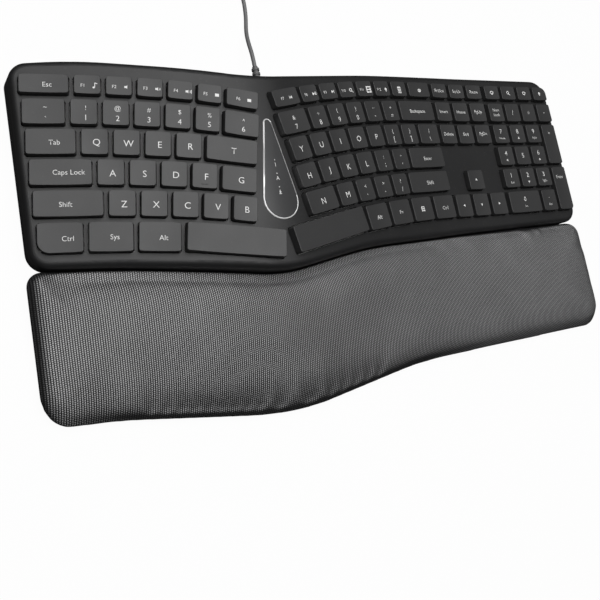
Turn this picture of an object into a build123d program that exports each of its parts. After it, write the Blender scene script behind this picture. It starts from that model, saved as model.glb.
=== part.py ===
from build123d import *
import os
from collections import namedtuple
from math import asin, atan, cos, degrees, dist, pi, radians, sin, sqrt, tan

# Arched desk keyboard in two key halves with a number pad, a cushioned palm rest and a USB cable.
# Sizes are in millimetres. The desk is z = 0, the user sits on the negative y side.
# Heights on the key deck are measured square to it, from the number pad's key tops, so a
# drop is the distance of a layer below the key tops.

# Overall sizes
case_width = 461.0
palm_width = 466.0
deck_tilt = 2.3
home_row_y = 65.0
numpad_height = 23.7
palm_front_height = 12.5

# Arch of the key deck, from left to right
left_slope = 13.3
shoulder_radius = 355.0
crown_slope = 4.4
crown_radius = 140.0
right_slope = 9.8
right_run = 99.5
valley_radius = 520.0
flat_start = 131.5

# Keys
key_unit = 19.05
key_gap = 3.2
key_depth = 15.7
function_key_depth = 11.8
space_key_depth = 17.7
cap_height = 6.2
cap_flare = 2.2
cap_wall = 1.3
cap_roof = 1.5
cap_corner = 1.5
cap_edge = 0.5
dish_depth = 0.3
key_travel = 2.2
key_clearance = 0.5
stem_side = 5.0
stem_reach = 11.0
stem_clearance = 0.4
post_radius = 1.5
post_inset = 7.0
wide_key = 30.0

# Layers under the key tops, as drops
deck_drop = 4.4
deck_skin = 2.2
frame_drop = cap_height + key_travel + 0.8
frame_thickness = 1.4
chimney_drop = cap_roof + dish_depth + key_travel + 1.0
chimney_wall = 1.1
dome_drop = stem_reach + 0.2
dome_sheet_drop = 15.0
dome_sheet = 0.6
membrane = 0.4
plate_thickness = 1.0
split_drop = 10.0
layer_margin = 6.5

# Case
case_wall = 2.4
floor_thickness = 2.0
foot_height = 1.0
rim_radius = 4.2
screw_radius = 1.0
screw_head_radius = 1.9
screw_head = 1.4
screw_clearance = 0.05
boss_radius = 2.2
post_support_radius = 2.5

# Indicator window
window_top = (-75.2, 1.0)
window_top_radius = 2.3
window_foot = (-74.7, -51.3)
window_foot_radius = 12.3
window_thickness = 1.5
window_rise = 0.3
ring_width = 0.9
ring_clearance = 0.1

# Palm rest
palm_gap = 0.4
palm_base_top = 4.4
palm_rim_inset = 1.2
cover_thickness = 0.8
foam_thickness = 6.5
palm_edge_radius = 6.0

# Cable
cable_diameter = 3.0
cable_exit_x = -56.5
relief_length = 20.0
relief_radius = 2.6

# Reach of cutting and trimming solids past the piece they cut
deep_drop = 60.0
deck_reach = 130.0
cut_overrun = 0.5

deck = Plane(
    origin=(0, home_row_y, numpad_height),
    x_dir=(1, 0, 0),
    z_dir=(0, -sin(radians(deck_tilt)), cos(radians(deck_tilt))),
)

Key = namedtuple("Key", "node u v width depth heading corners")
cap_spread = cap_height * tan(radians(cap_flare))


def save(piece, name):
    """Label a finished piece and write it."""
    piece.part.label = name
    export_step(piece.part, f"parts/{name}.step")
    print(name, len(piece.part.solids()), "solids", round(piece.part.volume, 1), "mm3")


# Arch of the deck: corner points of the profile, each with its height and slope in radians
valley_u = flat_start - valley_radius * sin(radians(right_slope))
valley_h = valley_radius * (1 - cos(radians(right_slope)))
ridge_u = valley_u - right_run
ridge_h = valley_h + right_run * tan(radians(right_slope))
crown_u = ridge_u - crown_radius * sin(radians(right_slope))
crown_h = ridge_h + crown_radius * (1 - cos(radians(right_slope)))
brow_u = crown_u - crown_radius * sin(radians(crown_slope))
brow_h = crown_h - crown_radius * (1 - cos(radians(crown_slope)))
shoulder_u = brow_u - shoulder_radius * (sin(radians(left_slope)) - sin(radians(crown_slope)))
shoulder_h = brow_h - shoulder_radius * (cos(radians(crown_slope)) - cos(radians(left_slope)))
profile_end = 0.5 * case_width + 40.0
left_end_h = shoulder_h - (profile_end + shoulder_u) * tan(radians(left_slope))

arch = [
    (-profile_end, left_end_h, radians(left_slope)),
    (shoulder_u, shoulder_h, radians(left_slope)),
    (brow_u, brow_h, radians(crown_slope)),
    (ridge_u, ridge_h, -radians(right_slope)),
    (valley_u, valley_h, -radians(right_slope)),
    (flat_start, 0.0, 0.0),
    (profile_end, 0.0, 0.0),
]


def slope_at(u):
    """Slope of the key tops at u, in radians, positive where they rise to the right."""
    for (u0, _, s0), (u1, _, s1) in zip(arch, arch[1:]):
        if u <= u1:
            return asin(sin(s0) + (sin(s1) - sin(s0)) * (u - u0) / (u1 - u0))
    return 0.0


def height_at(u):
    """Height of the key tops at u above the number pad's key tops."""
    for (u0, h0, s0), (u1, _, s1) in zip(arch, arch[1:]):
        if u <= u1:
            if s0 == s1:
                return h0 + (u - u0) * tan(s0)
            radius = (u1 - u0) / (sin(s1) - sin(s0))
            return h0 + radius * (cos(s0) - cos(slope_at(u)))
    return 0.0


def arch_points(drop):
    """Corner points of the arch, moved square to it by the drop."""
    return [((u + drop * sin(s), h - drop * cos(s)), s) for u, h, s in arch]


def arch_line(drop):
    """Draw the arch at a drop, from left to right, in the current line."""
    points = arch_points(drop)
    for ((p0, s0), (p1, s1)) in zip(points, points[1:]):
        if s0 == s1:
            Line(p0, p1)
        else:
            TangentArc(p0, p1, tangent=(cos(s0), sin(s0)))
    return points[0][0], points[-1][0]


def section_plane():
    """Upright plane behind the case, looking to the front: x to the right, y square to the deck."""
    return Plane(origin=deck.from_local_coords((0, deck_reach, 0)), x_dir=(1, 0, 0), z_dir=-deck.y_dir)


def rear_edge():
    """Corner points of the case's rear edge from left to right, each with its radius."""
    half = 0.5 * case_width
    wave = [((-192.5, 51.0), 300), ((-78.5, 34.6), 150), ((64.5, 51.0), 1000)]
    return [((-half, 51.0), 11)] + wave + [((half, 51.2), 15)]


front_wave = [((99.5, -80.0), 1500), ((-0.5, -84.6), 350), ((-75.5, -97.5), 110), ((-180.5, -82.2), 800)]
front_left_v = -77.0
front_right_v = -77.8
front_corner = 12.0


def case_outline(inset=0.0):
    """Outline of the case in plan, less an inset."""
    half = 0.5 * case_width
    corners = rear_edge()
    corners += [((half, front_right_v), front_corner)]
    corners += front_wave
    corners += [((-half, front_left_v), front_corner)]
    with BuildSketch(Plane.XY) as outline:
        with BuildLine():
            FilletPolyline(*[p for p, _ in corners], radius=[r for _, r in corners], close=True)
        make_face()
        if inset:
            offset(amount=-inset, mode=Mode.REPLACE)
    return outline.sketch


def arch_block(top_drop, bottom_drop, inset=0.0):
    """Slab between two drops under the key tops, cut to the case outline less an inset."""
    with BuildPart() as block:
        with BuildSketch(section_plane()):
            with BuildLine():
                top_start, top_end = arch_line(top_drop)
                bottom_start, bottom_end = arch_line(bottom_drop)
                Line(top_start, bottom_start)
                Line(top_end, bottom_end)
            make_face()
        extrude(amount=2 * deck_reach)
        with BuildSketch(deck.offset(-deep_drop)):
            add(case_outline(inset))
        extrude(amount=2 * deep_drop, mode=Mode.INTERSECT)
    return block.part


def under_arch(top_drop, inset=0.0):
    """Everything inside the outline below a drop, with a flat underside far below the desk."""
    with BuildPart() as block:
        with BuildSketch(section_plane()):
            with BuildLine():
                start, end = arch_line(top_drop)
                Polyline(start, (start[0], -deep_drop), (end[0], -deep_drop), end)
            make_face()
        extrude(amount=2 * deck_reach)
        with BuildSketch(deck.offset(-deep_drop)):
            add(case_outline(inset))
        extrude(amount=2 * deep_drop, mode=Mode.INTERSECT)
    return block.part


# Key layout. Rows run along gentle arcs: the left half falls towards the middle, the right half
# rises from the middle to its outer end. Each row names its keys' nodes and cell widths.
left_edge_u = -228.0
left_bow_slope = 0.08
left_bow_radius = 1150.0
left_row_drop = 1.4
right_edge_u = 91.0
right_bow_u = 99.5
right_bow_radius = 690.0
row_v = {"function": 36.9, "number": 19.05, "upper": 0.0, "home": -19.15, "lower": -38.4, "space": -59.0}
outer_corners = {"left_control_key": {(-1, -1): 7.0}}
row_depth = {"function": function_key_depth, "space": space_key_depth}


def left_v(row, u):
    run = u - left_edge_u
    return row_v[row] - left_row_drop - left_bow_slope * run - run * run / (2 * left_bow_radius)


def left_heading(u):
    return -atan(left_bow_slope + (u - left_edge_u) / left_bow_radius)


def right_v(row, u):
    return row_v[row] - (right_bow_u - u) ** 2 / (2 * right_bow_radius)


def right_heading(u):
    return atan((right_bow_u - u) / right_bow_radius)


def lay_row(row, cells, start, step, height, heading):
    """Lay cells side by side along a row, measured on the deck's surface."""
    keys = []
    u = start
    for node, width in cells:
        half = 0.5 * width
        middle = u + step * half * cos(slope_at(u)) * cos(heading(u))
        middle = u + step * half * cos(slope_at(middle)) * cos(heading(middle))
        u = middle + step * half * cos(slope_at(middle)) * cos(heading(middle))
        depth = row_depth.get(row, key_depth)
        corners = outer_corners.get(node, {})
        keys.append(Key(node, middle, height(row, middle), width - key_gap, depth, heading(middle), corners))
    return keys


def column(side, number):
    return f"{side}_column_{number}_keys"


left_cells = {
    "function": [("escape_key", 32.2)] + [(column("left", n), key_unit) for n in range(1, 6)]
    + [(column("left", 6), 25.0)],
    "number": [("grave_key", 28.0)] + [(column("left", n), key_unit) for n in range(1, 6)]
    + [(column("left", 6), 26.5)],
    "upper": [("tab_key", 32.0)] + [(column("left", n), key_unit) for n in range(1, 5)]
    + [(column("left", 5), 37.0)],
    "home": [("caps_lock_key", 39.1)] + [(column("left", n), key_unit) for n in range(1, 5)]
    + [(column("left", 5), 26.2)],
    "lower": [("left_shift_key", 43.3)] + [(column("left", n), key_unit) for n in range(1, 6)],
    "space": [("left_control_key", 29.2), ("left_system_key", 29.0), ("left_alt_key", 28.5),
              ("left_space_bar", 67.4)],
}
right_cells = {
    "function": [(column("right", 7), 25.8), (column("right", 7), key_unit)]
    + [(column("right", n), key_unit) for n in range(6, 1, -1)] + [(column("right", 1), 25.6)],
    "number": [("backspace_key", 40.0)] + [(column("right", n), key_unit) for n in range(6, 1, -1)]
    + [(column("right", 1), 28.0)],
    "upper": [(column("right", 7), 24.0), (column("right", 7), key_unit)]
    + [(column("right", n), key_unit) for n in range(6, 1, -1)] + [(column("right", 1), 19.4)],
    "home": [("enter_key", 39.8)] + [(column("right", n), key_unit) for n in range(6, 1, -1)]
    + [(column("right", 1), 20.5)],
    "lower": [("right_shift_key", 45.8)] + [(column("right", n), key_unit) for n in range(6, 2, -1)]
    + [(column("right", 1), 29.5)],
    "space": [("right_control_key", 24.4), ("menu_key", 24.4), ("function_key", 24.4),
              ("right_alt_key", 24.4), ("right_space_bar", 70.0)],
}
navigation_u = 119.9
number_pad_u = 159.5

keys = []
for row, cells in left_cells.items():
    keys += lay_row(row, cells, left_edge_u, 1, left_v, left_heading)
for row, cells in right_cells.items():
    keys += lay_row(row, cells, right_edge_u, -1, right_v, right_heading)


def square_key(node, u, row, columns=1, rows=1, corners=None):
    """A key of the straight blocks, which may span more than one cell."""
    depth = row_depth.get(row, key_depth) + (rows - 1) * key_unit
    width = columns * key_unit - key_gap
    middle_u = u + 0.5 * (columns - 1) * key_unit
    keys.append(Key(node, middle_u, row_v[row] - 0.5 * (rows - 1) * key_unit, width, depth, 0.0,
                    corners or {}))


for offset_u in (-key_unit, 0, key_unit):
    for row in ("function", "number", "upper"):
        square_key("navigation_keys", navigation_u + offset_u, row)
    square_key("arrow_keys", navigation_u + offset_u, "space")
square_key("arrow_keys", navigation_u, "lower")
for n in range(4):
    square_key("media_keys", number_pad_u + n * key_unit, "function", corners={(1, 1): 6.0} if n == 3 else None)
    square_key("number_pad_keys", number_pad_u + n * key_unit, "number")
for row in ("upper", "home", "lower"):
    for n in range(3):
        square_key("number_pad_keys", number_pad_u + n * key_unit, row)
square_key("number_pad_plus_key", number_pad_u + 3 * key_unit, "upper", rows=2)
square_key("number_pad_zero_keys", number_pad_u, "space", columns=2)
square_key("number_pad_zero_keys", number_pad_u + 2 * key_unit, "space")
enter_top_v = row_v["lower"] + 0.5 * key_depth
enter_depth = enter_top_v - (row_v["space"] - 0.5 * space_key_depth)
keys.append(Key("number_pad_enter_key", number_pad_u + 3 * key_unit, enter_top_v - 0.5 * enter_depth,
                key_unit - key_gap, enter_depth, 0.0, {(1, -1): 3.0}))


def key_plane(key, drop=0.0):
    """Plane on the middle of a key's top, or a drop below it: x along the row, z out of the key."""
    s = slope_at(key.u)
    across = deck.x_dir * cos(s) + deck.z_dir * sin(s)
    normal = deck.z_dir * cos(s) - deck.x_dir * sin(s)
    along = across * cos(key.heading) + deck.y_dir * sin(key.heading)
    top = deck.from_local_coords((key.u, key.v, height_at(key.u)))
    return Plane(origin=top - normal * drop, x_dir=along, z_dir=normal)


def key_outline(key, grow):
    """A key's outline, grown all round."""
    half_width = 0.5 * key.width + grow
    half_depth = 0.5 * key.depth + grow
    sides = [(-1, -1), (1, -1), (1, 1), (-1, 1)]
    radii = [key.corners.get(side, cap_corner) + grow for side in sides]
    with BuildSketch(Plane.XY) as outline:
        with BuildLine():
            FilletPolyline(*[(a * half_width, b * half_depth) for a, b in sides], radius=radii, close=True)
        make_face()
    return outline.sketch


def post_offsets(key):
    """Places of the two guide posts of a wide or deep key, in the key's own plane."""
    if key.width > wide_key:
        reach = 0.5 * key.width - post_inset
        return [(-reach, 0), (reach, 0)]
    if key.depth > wide_key:
        reach = 0.5 * key.depth - post_inset
        return [(0, -reach), (0, reach)]
    return []


def keycap(key):
    """Hollow keycap on its stem, modelled in place."""
    top = key_plane(key)
    with BuildPart() as cap:
        with BuildSketch(top):
            add(key_outline(key, 0.0))
        extrude(amount=-cap_height, taper=-cap_flare)
        fillet(cap.faces().sort_by(Axis(top.origin, top.z_dir))[-1].edges(), radius=cap_edge)
        reach = 0.5 * key.width
        dish_radius = (reach * reach + dish_depth * dish_depth) / (2 * dish_depth)
        with BuildSketch(Plane(origin=top.origin, x_dir=top.x_dir, z_dir=-top.y_dir)):
            with Locations((0, dish_radius - dish_depth)):
                Circle(dish_radius)
        extrude(amount=key.depth, both=True, mode=Mode.SUBTRACT)
        with BuildSketch(key_plane(key, cap_height)):
            Rectangle(key.width + 2 * cap_spread - 2 * cap_wall, key.depth + 2 * cap_spread - 2 * cap_wall)
        extrude(amount=cap_height - cap_roof - dish_depth, mode=Mode.SUBTRACT)
        with BuildSketch(key_plane(key, stem_reach)):
            Rectangle(stem_side, stem_side)
            if post_offsets(key):
                with Locations(*post_offsets(key)):
                    Circle(post_radius)
        extrude(amount=stem_reach - cap_roof)
    return cap.part


os.makedirs("parts", exist_ok=True)

nodes = []
for key in keys:
    if key.node not in nodes:
        nodes.append(key.node)
for node in nodes:
    with BuildPart() as group:
        for key in [k for k in keys if k.node == node]:
            add(keycap(key))
    save(group, node)

# Screws through the rim of the case, and three that also clamp the layers under the keys
rim_screws = [(-214, 45.0), (-150, 38.8), (-20, 37.6), (60, 45.2), (130, 46.2), (200, 46.2)]
rim_screws += [(-213, -74.4), (-150, -82.0), (-75.5, -90.0), (-18, -82.2), (60, -76.0)]
rim_screws += [(130, -74.0), (205, -73.2)]
layer_screws = [(-75.8, 13.5), (104, -19.5), (137, -19.5)]
all_screws = rim_screws + layer_screws
rim_seat = 16.0
layer_seat = 20.0
screw_tip = 7.2


def wave_v(corners, u):
    """Plan position of a waved edge at u, from its corner points and their radii."""
    for ((u0, v0), r0), ((u1, v1), r1) in zip(corners, corners[1:]):
        if u0 <= u <= u1:
            slope = (v1 - v0) / (u1 - u0)
            v = v0 + slope * (u - u0)
            for (corner, radius) in ((u0, r0), (u1, r1)):
                index = [c[0][0] for c in corners].index(corner)
                if 0 < index < len(corners) - 1:
                    before, after = corners[index - 1][0], corners[index + 1][0]
                    middle = corners[index][0]
                    turn = (after[1] - middle[1]) / (after[0] - middle[0])
                    turn -= (middle[1] - before[1]) / (middle[0] - before[0])
                    reach = 0.5 * radius * abs(turn)
                    if abs(u - corner) < reach:
                        v += (reach - abs(u - corner)) ** 2 / (2 * radius) * (1 if turn > 0 else -1)
            return v
    return corners[-1][0][1]


def front_edge():
    """Corner points of the case's front edge from left to right, each with its radius."""
    half = 0.5 * case_width
    ends = [((-half, front_left_v), front_corner)], [((half, front_right_v), front_corner)]
    return ends[0] + front_wave[::-1] + ends[1]


def rods(places, radius, top_drop, bottom_drop):
    """Round rods square to the deck, trimmed to the arch at both ends."""
    with BuildPart() as bundle:
        with BuildSketch(deck.offset(-deep_drop)):
            with Locations(*places):
                Circle(radius)
        extrude(amount=2 * deep_drop)
        add(arch_block(top_drop, bottom_drop), mode=Mode.INTERSECT)
    return bundle.part


def window_outline(grow):
    """Drop shaped outline of the indicator window, grown all round."""
    with BuildSketch(Plane.XY) as outline:
        with Locations(window_top):
            Circle(window_top_radius + grow)
        with Locations(window_foot):
            Circle(window_foot_radius + grow)
        make_hull()
    return outline.sketch


def window_block(grow, top_drop, bottom_drop):
    """Slab of the indicator window's outline between two drops."""
    with BuildPart() as block:
        with BuildSketch(deck.offset(-deep_drop)):
            add(window_outline(grow))
        extrude(amount=2 * deep_drop)
        add(arch_block(top_drop, bottom_drop), mode=Mode.INTERSECT)
    return block.part


lamp_places = [(-74.8, -24.3), (-74.8, -33.5), (-74.8, -42.7)]
board_pegs = [(-74.8, -18.8), (-74.8, -49.8)]
board_peg_radius = 1.0
board_width = 12.0
board_length = 36.0
board_thickness = 1.0
board_drop = 7.4
lamp_slot = (3.0, 1.6)
lamp_size = (1.6, 0.8, 0.5)
window_seat = deck_drop + window_thickness - window_rise

# Top case: arched shell with an opening for each key and a recess for the indicator window
with BuildPart() as top_case:
    add(arch_block(deck_drop, split_drop))
    crest = [f for f in top_case.faces() if f.normal_at().dot(deck.z_dir) > 0.9]
    rim = [e for f in crest for e in f.edges() if sum(e.is_same(o) for g in crest for o in g.edges()) == 1]
    fillet(rim, radius=rim_radius)
    add(arch_block(deck_drop + deck_skin, split_drop, inset=case_wall), mode=Mode.SUBTRACT)
    add(rods(rim_screws, boss_radius, deck_drop + 0.5 * deck_skin, split_drop))
    add(rods(layer_screws, boss_radius, deck_drop + 0.5 * deck_skin, frame_drop))
    add(window_block(ring_width + ring_clearance, 0.0, window_seat), mode=Mode.SUBTRACT)
    add(rods(board_pegs, board_peg_radius, deck_drop + deck_skin - 0.2, board_drop + board_thickness))
    for key in keys:
        with BuildSketch(key_plane(key, frame_drop)):
            add(key_outline(key, cap_spread + key_clearance))
    extrude(amount=frame_drop + deck_drop, mode=Mode.SUBTRACT)
    for u, v in all_screws:
        with BuildSketch(deck.offset(height_at(u) - split_drop - 2.0)):
            with Locations((u, v)):
                Circle(screw_radius + screw_clearance)
    extrude(amount=split_drop + 2.0 - screw_tip, mode=Mode.SUBTRACT)
    with BuildSketch(deck.offset(height_at(window_foot[0]) - split_drop)):
        with Locations(*lamp_places):
            RectangleRounded(*lamp_slot, 0.5)
    extrude(amount=split_drop, mode=Mode.SUBTRACT)
save(top_case, "top_case")


counterbore_radius = screw_head_radius + 0.2
post_outer = counterbore_radius + 1.4


def layer_sheet(top_drop, bottom_drop, hole_radius):
    """A layer under the keys, with holes for the screws that clamp it and room for the rim posts."""
    with BuildPart() as sheet:
        add(arch_block(top_drop, bottom_drop, inset=layer_margin))
        with BuildSketch(deck.offset(-deep_drop)):
            with Locations(*layer_screws):
                Circle(hole_radius)
            with Locations(*rim_screws):
                Circle(post_outer + 0.5)
        extrude(amount=2 * deep_drop, mode=Mode.SUBTRACT)
    return sheet.part


peg_radius = 1.2
peg_sink = 1.0
layer_hole = 1.3


def frame_pegs():
    """Pegs between the domes, from the key guide frame down to the dome sheet."""
    with BuildPart() as pegs:
        for key in keys:
            with BuildSketch(key_plane(key, dome_sheet_drop + peg_sink)):
                with Locations((0.5 * (key.width + key_gap), 0)):
                    Circle(peg_radius)
        extrude(amount=dome_sheet_drop + peg_sink - frame_drop - 0.5 * frame_thickness)
        add(arch_block(frame_drop + 0.5 * frame_thickness, dome_sheet_drop, inset=layer_margin),
            mode=Mode.INTERSECT)
    return pegs.part


# Key guide frame: a slotted chimney for each stem, standing on pegs between the domes
with BuildPart() as key_guide_frame:
    add(layer_sheet(frame_drop, frame_drop + frame_thickness, layer_hole))
    add(frame_pegs())
    for key in keys:
        with BuildSketch(key_plane(key, frame_drop + frame_thickness)):
            outer = stem_side + 2 * stem_clearance + 2 * chimney_wall
            Rectangle(outer, outer)
            if post_offsets(key):
                with Locations(*post_offsets(key)):
                    Circle(post_radius + stem_clearance + chimney_wall)
    extrude(amount=frame_drop + frame_thickness - chimney_drop)
    for key in keys:
        with BuildSketch(key_plane(key, frame_drop + 2 * frame_thickness)):
            Rectangle(stem_side + 2 * stem_clearance, stem_side + 2 * stem_clearance)
            if post_offsets(key):
                with Locations(*post_offsets(key)):
                    Circle(post_radius + stem_clearance)
    extrude(amount=frame_drop + 3 * frame_thickness - chimney_drop, mode=Mode.SUBTRACT)
save(key_guide_frame, "key_guide_frame")

dome_foot_radius = 4.5
dome_top_radius = 2.75
dome_skin = 0.8
dome_cap = 1.2
dome_height = dome_sheet_drop - dome_drop
dome_slope = atan((dome_foot_radius - dome_top_radius) / dome_height)

# Rubber domes: one sheet with a hollow dome under each stem
with BuildPart() as rubber_domes:
    add(layer_sheet(dome_sheet_drop, dome_sheet_drop + dome_sheet, layer_hole))
    for key in keys:
        with BuildSketch(key_plane(key, dome_sheet_drop + 0.5 * dome_sheet)):
            Circle(dome_foot_radius + 0.5 * dome_sheet * tan(dome_slope))
    extrude(amount=dome_height + 0.5 * dome_sheet, taper=degrees(dome_slope))
    for key in keys:
        with BuildSketch(key_plane(key, dome_sheet_drop + dome_sheet + cut_overrun)):
            Circle(dome_foot_radius - dome_skin)
    hollow_height = dome_sheet + cut_overrun + dome_height - dome_cap
    extrude(amount=hollow_height, taper=degrees(dome_slope), mode=Mode.SUBTRACT)
save(rubber_domes, "rubber_domes")

membrane_drop = dome_sheet_drop + dome_sheet
plate_drop = membrane_drop + membrane

with BuildPart() as membrane_sheets:
    add(layer_sheet(membrane_drop, plate_drop, layer_hole))
save(membrane_sheets, "membrane_sheets")

with BuildPart() as backing_plate:
    add(layer_sheet(plate_drop, plate_drop + plate_thickness, layer_hole))
save(backing_plate, "backing_plate")

# Cable exit on the rear wall
exit_height = 13.2
exit_lean = (numpad_height - exit_height) * sin(radians(deck_tilt))
exit_y = home_row_y + wave_v(rear_edge(), cable_exit_x) + exit_lean
boss_half_side = 6.5
boss_depth = 5.0
flange_radius = 4.2
flange_thickness = 1.6
flange_y = exit_y - boss_depth
relief_inner_y = flange_y - flange_thickness

# Controller board behind the cable exit
board_x = cable_exit_x + 6.5
board_width_x = 40.0
board_depth = 20.0
pcb_thickness = 1.6
board_level = 9.0
board_y = relief_inner_y - 0.3 - 0.5 * board_depth
board_posts = [(-16.0, -7.0), (16.0, -7.0), (-16.0, 7.0), (16.0, 7.0)]
board_post_radius = 2.2
board_pin_radius = 0.9
board_pin_rise = 0.6
socket_width = 10.0
socket_depth = 8.0
socket_height = 5.0
chip_side = 7.0
chip_height = 1.2

# Tilt legs at the rear corners
leg_x = 190.0
leg_width = 20.0
leg_length = 27.0
leg_thickness = 2.6
leg_pivot_y = 104.0
leg_pivot_z = 2.9
leg_barrel = 1.5
leg_pin = 1.0
leg_pin_reach = 1.2
leg_clearance = 0.4
leg_swing = 2.4
leg_recess_top = 4.8
leg_housing = 1.6

# Screws that hold the palm rest to the front wall
palm_screw_places = [-183.0, -50.0, 30.0, 170.0]
palm_screw_level = 5.7
palm_screw_seat = 1.4
palm_screw_reach = 8.0

support_places = [(-190, -10), (-120, -30), (-30, -5), (30, -12), (85, 20), (180, -28), (205, 10)]


def wall_y(u, level):
    """World y of the case's front wall at u, at a height above the desk."""
    return home_row_y + wave_v(front_edge(), u) + (numpad_height - level) * sin(radians(deck_tilt))


def leg_recess(side, grow, top):
    """Box round a folded tilt leg, grown by a wall, up to a height."""
    with BuildPart() as recess:
        with BuildSketch(Plane.XY):
            with Locations((side * leg_x, leg_pivot_y + leg_swing + grow)):
                Rectangle(leg_width + 2 * leg_clearance + 2 * grow,
                          leg_length + leg_swing + leg_clearance + 2 * grow, align=(Align.CENTER, Align.MAX))
        extrude(amount=top)
    return recess.part


def posts_under(places, radius, top_drop):
    """Posts square to the deck from below the floor up to a drop."""
    with BuildPart() as posts:
        with BuildSketch(deck.offset(-deep_drop)):
            with Locations(*places):
                Circle(radius)
        extrude(amount=2 * deep_drop)
        add(under_arch(top_drop), mode=Mode.INTERSECT)
    return posts.part


split_overrun = 5.0
pin_hole_room = 0.2


def base_hollow():
    """Inside of the base case, from its floor to above the split line."""
    with BuildPart() as hollow:
        add(under_arch(split_drop - split_overrun, inset=case_wall))
        split(bisect_by=Plane.XY.offset(foot_height + floor_thickness), keep=Keep.TOP)
    return hollow.part


def cable_exit_boss():
    """Square boss behind the rear wall that the strain relief passes through."""
    with BuildPart() as boss:
        with BuildSketch(Plane.XZ.offset(-flange_y)):
            with Locations((cable_exit_x, exit_height)):
                Rectangle(2 * boss_half_side, 2 * boss_half_side)
        extrude(amount=-2 * boss_depth)
        add(under_arch(split_drop), mode=Mode.INTERSECT)
    return boss.part


plate_bottom = plate_drop + plate_thickness

# Base case: floor, walls, screw bosses, board posts and leg recesses
with BuildPart() as base_case:
    add(under_arch(split_drop))
    add(base_hollow(), mode=Mode.SUBTRACT)
    add(posts_under(rim_screws, post_outer, split_drop))
    add(posts_under(layer_screws, post_outer, plate_bottom))
    add(posts_under(support_places, post_support_radius, plate_bottom))
    add(cable_exit_boss())
    for side in (-1, 1):
        add(leg_recess(side, leg_housing, leg_recess_top + leg_housing))
    split(bisect_by=Plane.XY.offset(foot_height), keep=Keep.TOP)
    for side in (-1, 1):
        add(leg_recess(side, 0.0, leg_recess_top), mode=Mode.SUBTRACT)
        with BuildSketch(Plane.YZ.offset(side * leg_x)):
            with Locations((leg_pivot_y, leg_pivot_z)):
                Circle(leg_pin + screw_clearance)
        pin_hole = 0.5 * leg_width + leg_clearance + leg_pin_reach + pin_hole_room
        extrude(amount=pin_hole, both=True, mode=Mode.SUBTRACT)
    for u, v in all_screws:
        seat = layer_seat if (u, v) in layer_screws else rim_seat
        with BuildSketch(deck.offset(height_at(u) - seat)):
            with Locations((u, v)):
                Circle(counterbore_radius)
    extrude(amount=-deep_drop, mode=Mode.SUBTRACT)
    for u, v in all_screws:
        seat = layer_seat if (u, v) in layer_screws else rim_seat
        with BuildSketch(deck.offset(height_at(u) - seat - cut_overrun)):
            with Locations((u, v)):
                Circle(screw_radius + screw_clearance)
    extrude(amount=deep_drop, mode=Mode.SUBTRACT)
    with BuildSketch(Plane.XZ.offset(-flange_y + 2 * cut_overrun)):
        with Locations((cable_exit_x, exit_height)):
            Circle(relief_radius + screw_clearance)
    extrude(amount=-4 * boss_depth, mode=Mode.SUBTRACT)
    for x in palm_screw_places:
        with BuildSketch(Plane.XZ.offset(-wall_y(x, palm_screw_level) - palm_screw_seat)):
            with Locations((x, palm_screw_level)):
                Circle(counterbore_radius)
        extrude(amount=-2 * case_wall, mode=Mode.SUBTRACT)
        with BuildSketch(Plane.XZ.offset(-wall_y(x, palm_screw_level) - 2 * case_wall)):
            with Locations((x, palm_screw_level)):
                Circle(screw_radius + screw_clearance)
        extrude(amount=4 * case_wall, mode=Mode.SUBTRACT)
    with BuildSketch(Plane.XY.offset(foot_height + floor_thickness)):
        with Locations(*[(board_x + x, board_y + y) for x, y in board_posts]):
            Circle(board_post_radius)
    extrude(amount=board_level - foot_height - floor_thickness)
    with BuildSketch(Plane.XY.offset(board_level)):
        with Locations(*[(board_x + x, board_y + y) for x, y in board_posts]):
            Circle(board_pin_radius)
    extrude(amount=pcb_thickness + board_pin_rise)
save(base_case, "base_case")

# Screws: one under each boss
screw_socket = 0.8
screw_tip_room = 0.3
with BuildPart() as case_screws:
    for u, v in all_screws:
        seat = layer_seat if (u, v) in layer_screws else rim_seat
        level = height_at(u) - seat
        with BuildSketch(deck.offset(level)):
            with Locations((u, v)):
                Circle(screw_radius)
        extrude(amount=seat - screw_tip - screw_tip_room)
        with BuildSketch(deck.offset(level - screw_head)):
            with Locations((u, v)):
                Circle(screw_head_radius)
        extrude(amount=screw_head)
        with BuildSketch(deck.offset(level - screw_head)):
            with Locations((u, v)):
                RegularPolygon(screw_socket, 6)
        extrude(amount=0.5 * screw_head, mode=Mode.SUBTRACT)
save(case_screws, "case_screws")

with BuildPart() as palm_rest_screws:
    for x in palm_screw_places:
        seat_y = wall_y(x, palm_screw_level) + palm_screw_seat
        with BuildSketch(Plane.XZ.offset(-seat_y)):
            with Locations((x, palm_screw_level)):
                Circle(screw_radius)
        extrude(amount=palm_screw_reach)
        with BuildSketch(Plane.XZ.offset(-seat_y)):
            with Locations((x, palm_screw_level)):
                Circle(screw_head_radius)
        extrude(amount=-screw_head)
        with BuildSketch(Plane.XZ.offset(-seat_y - screw_head)):
            with Locations((x, palm_screw_level)):
                RegularPolygon(screw_socket, 6)
        extrude(amount=0.5 * screw_head, mode=Mode.SUBTRACT)
save(palm_rest_screws, "palm_rest_screws")

# Indicator window: a smoked panel in a bright ring, with a small lamp board hung behind it
with BuildPart() as indicator_panel:
    add(window_block(0.0, deck_drop - window_rise, window_seat))
save(indicator_panel, "indicator_panel")

with BuildPart() as indicator_ring:
    add(window_block(ring_width, deck_drop - 2 * window_rise, window_seat))
    add(window_block(ring_clearance, 0.0, window_seat + 1.0), mode=Mode.SUBTRACT)
save(indicator_ring, "indicator_ring")

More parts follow.
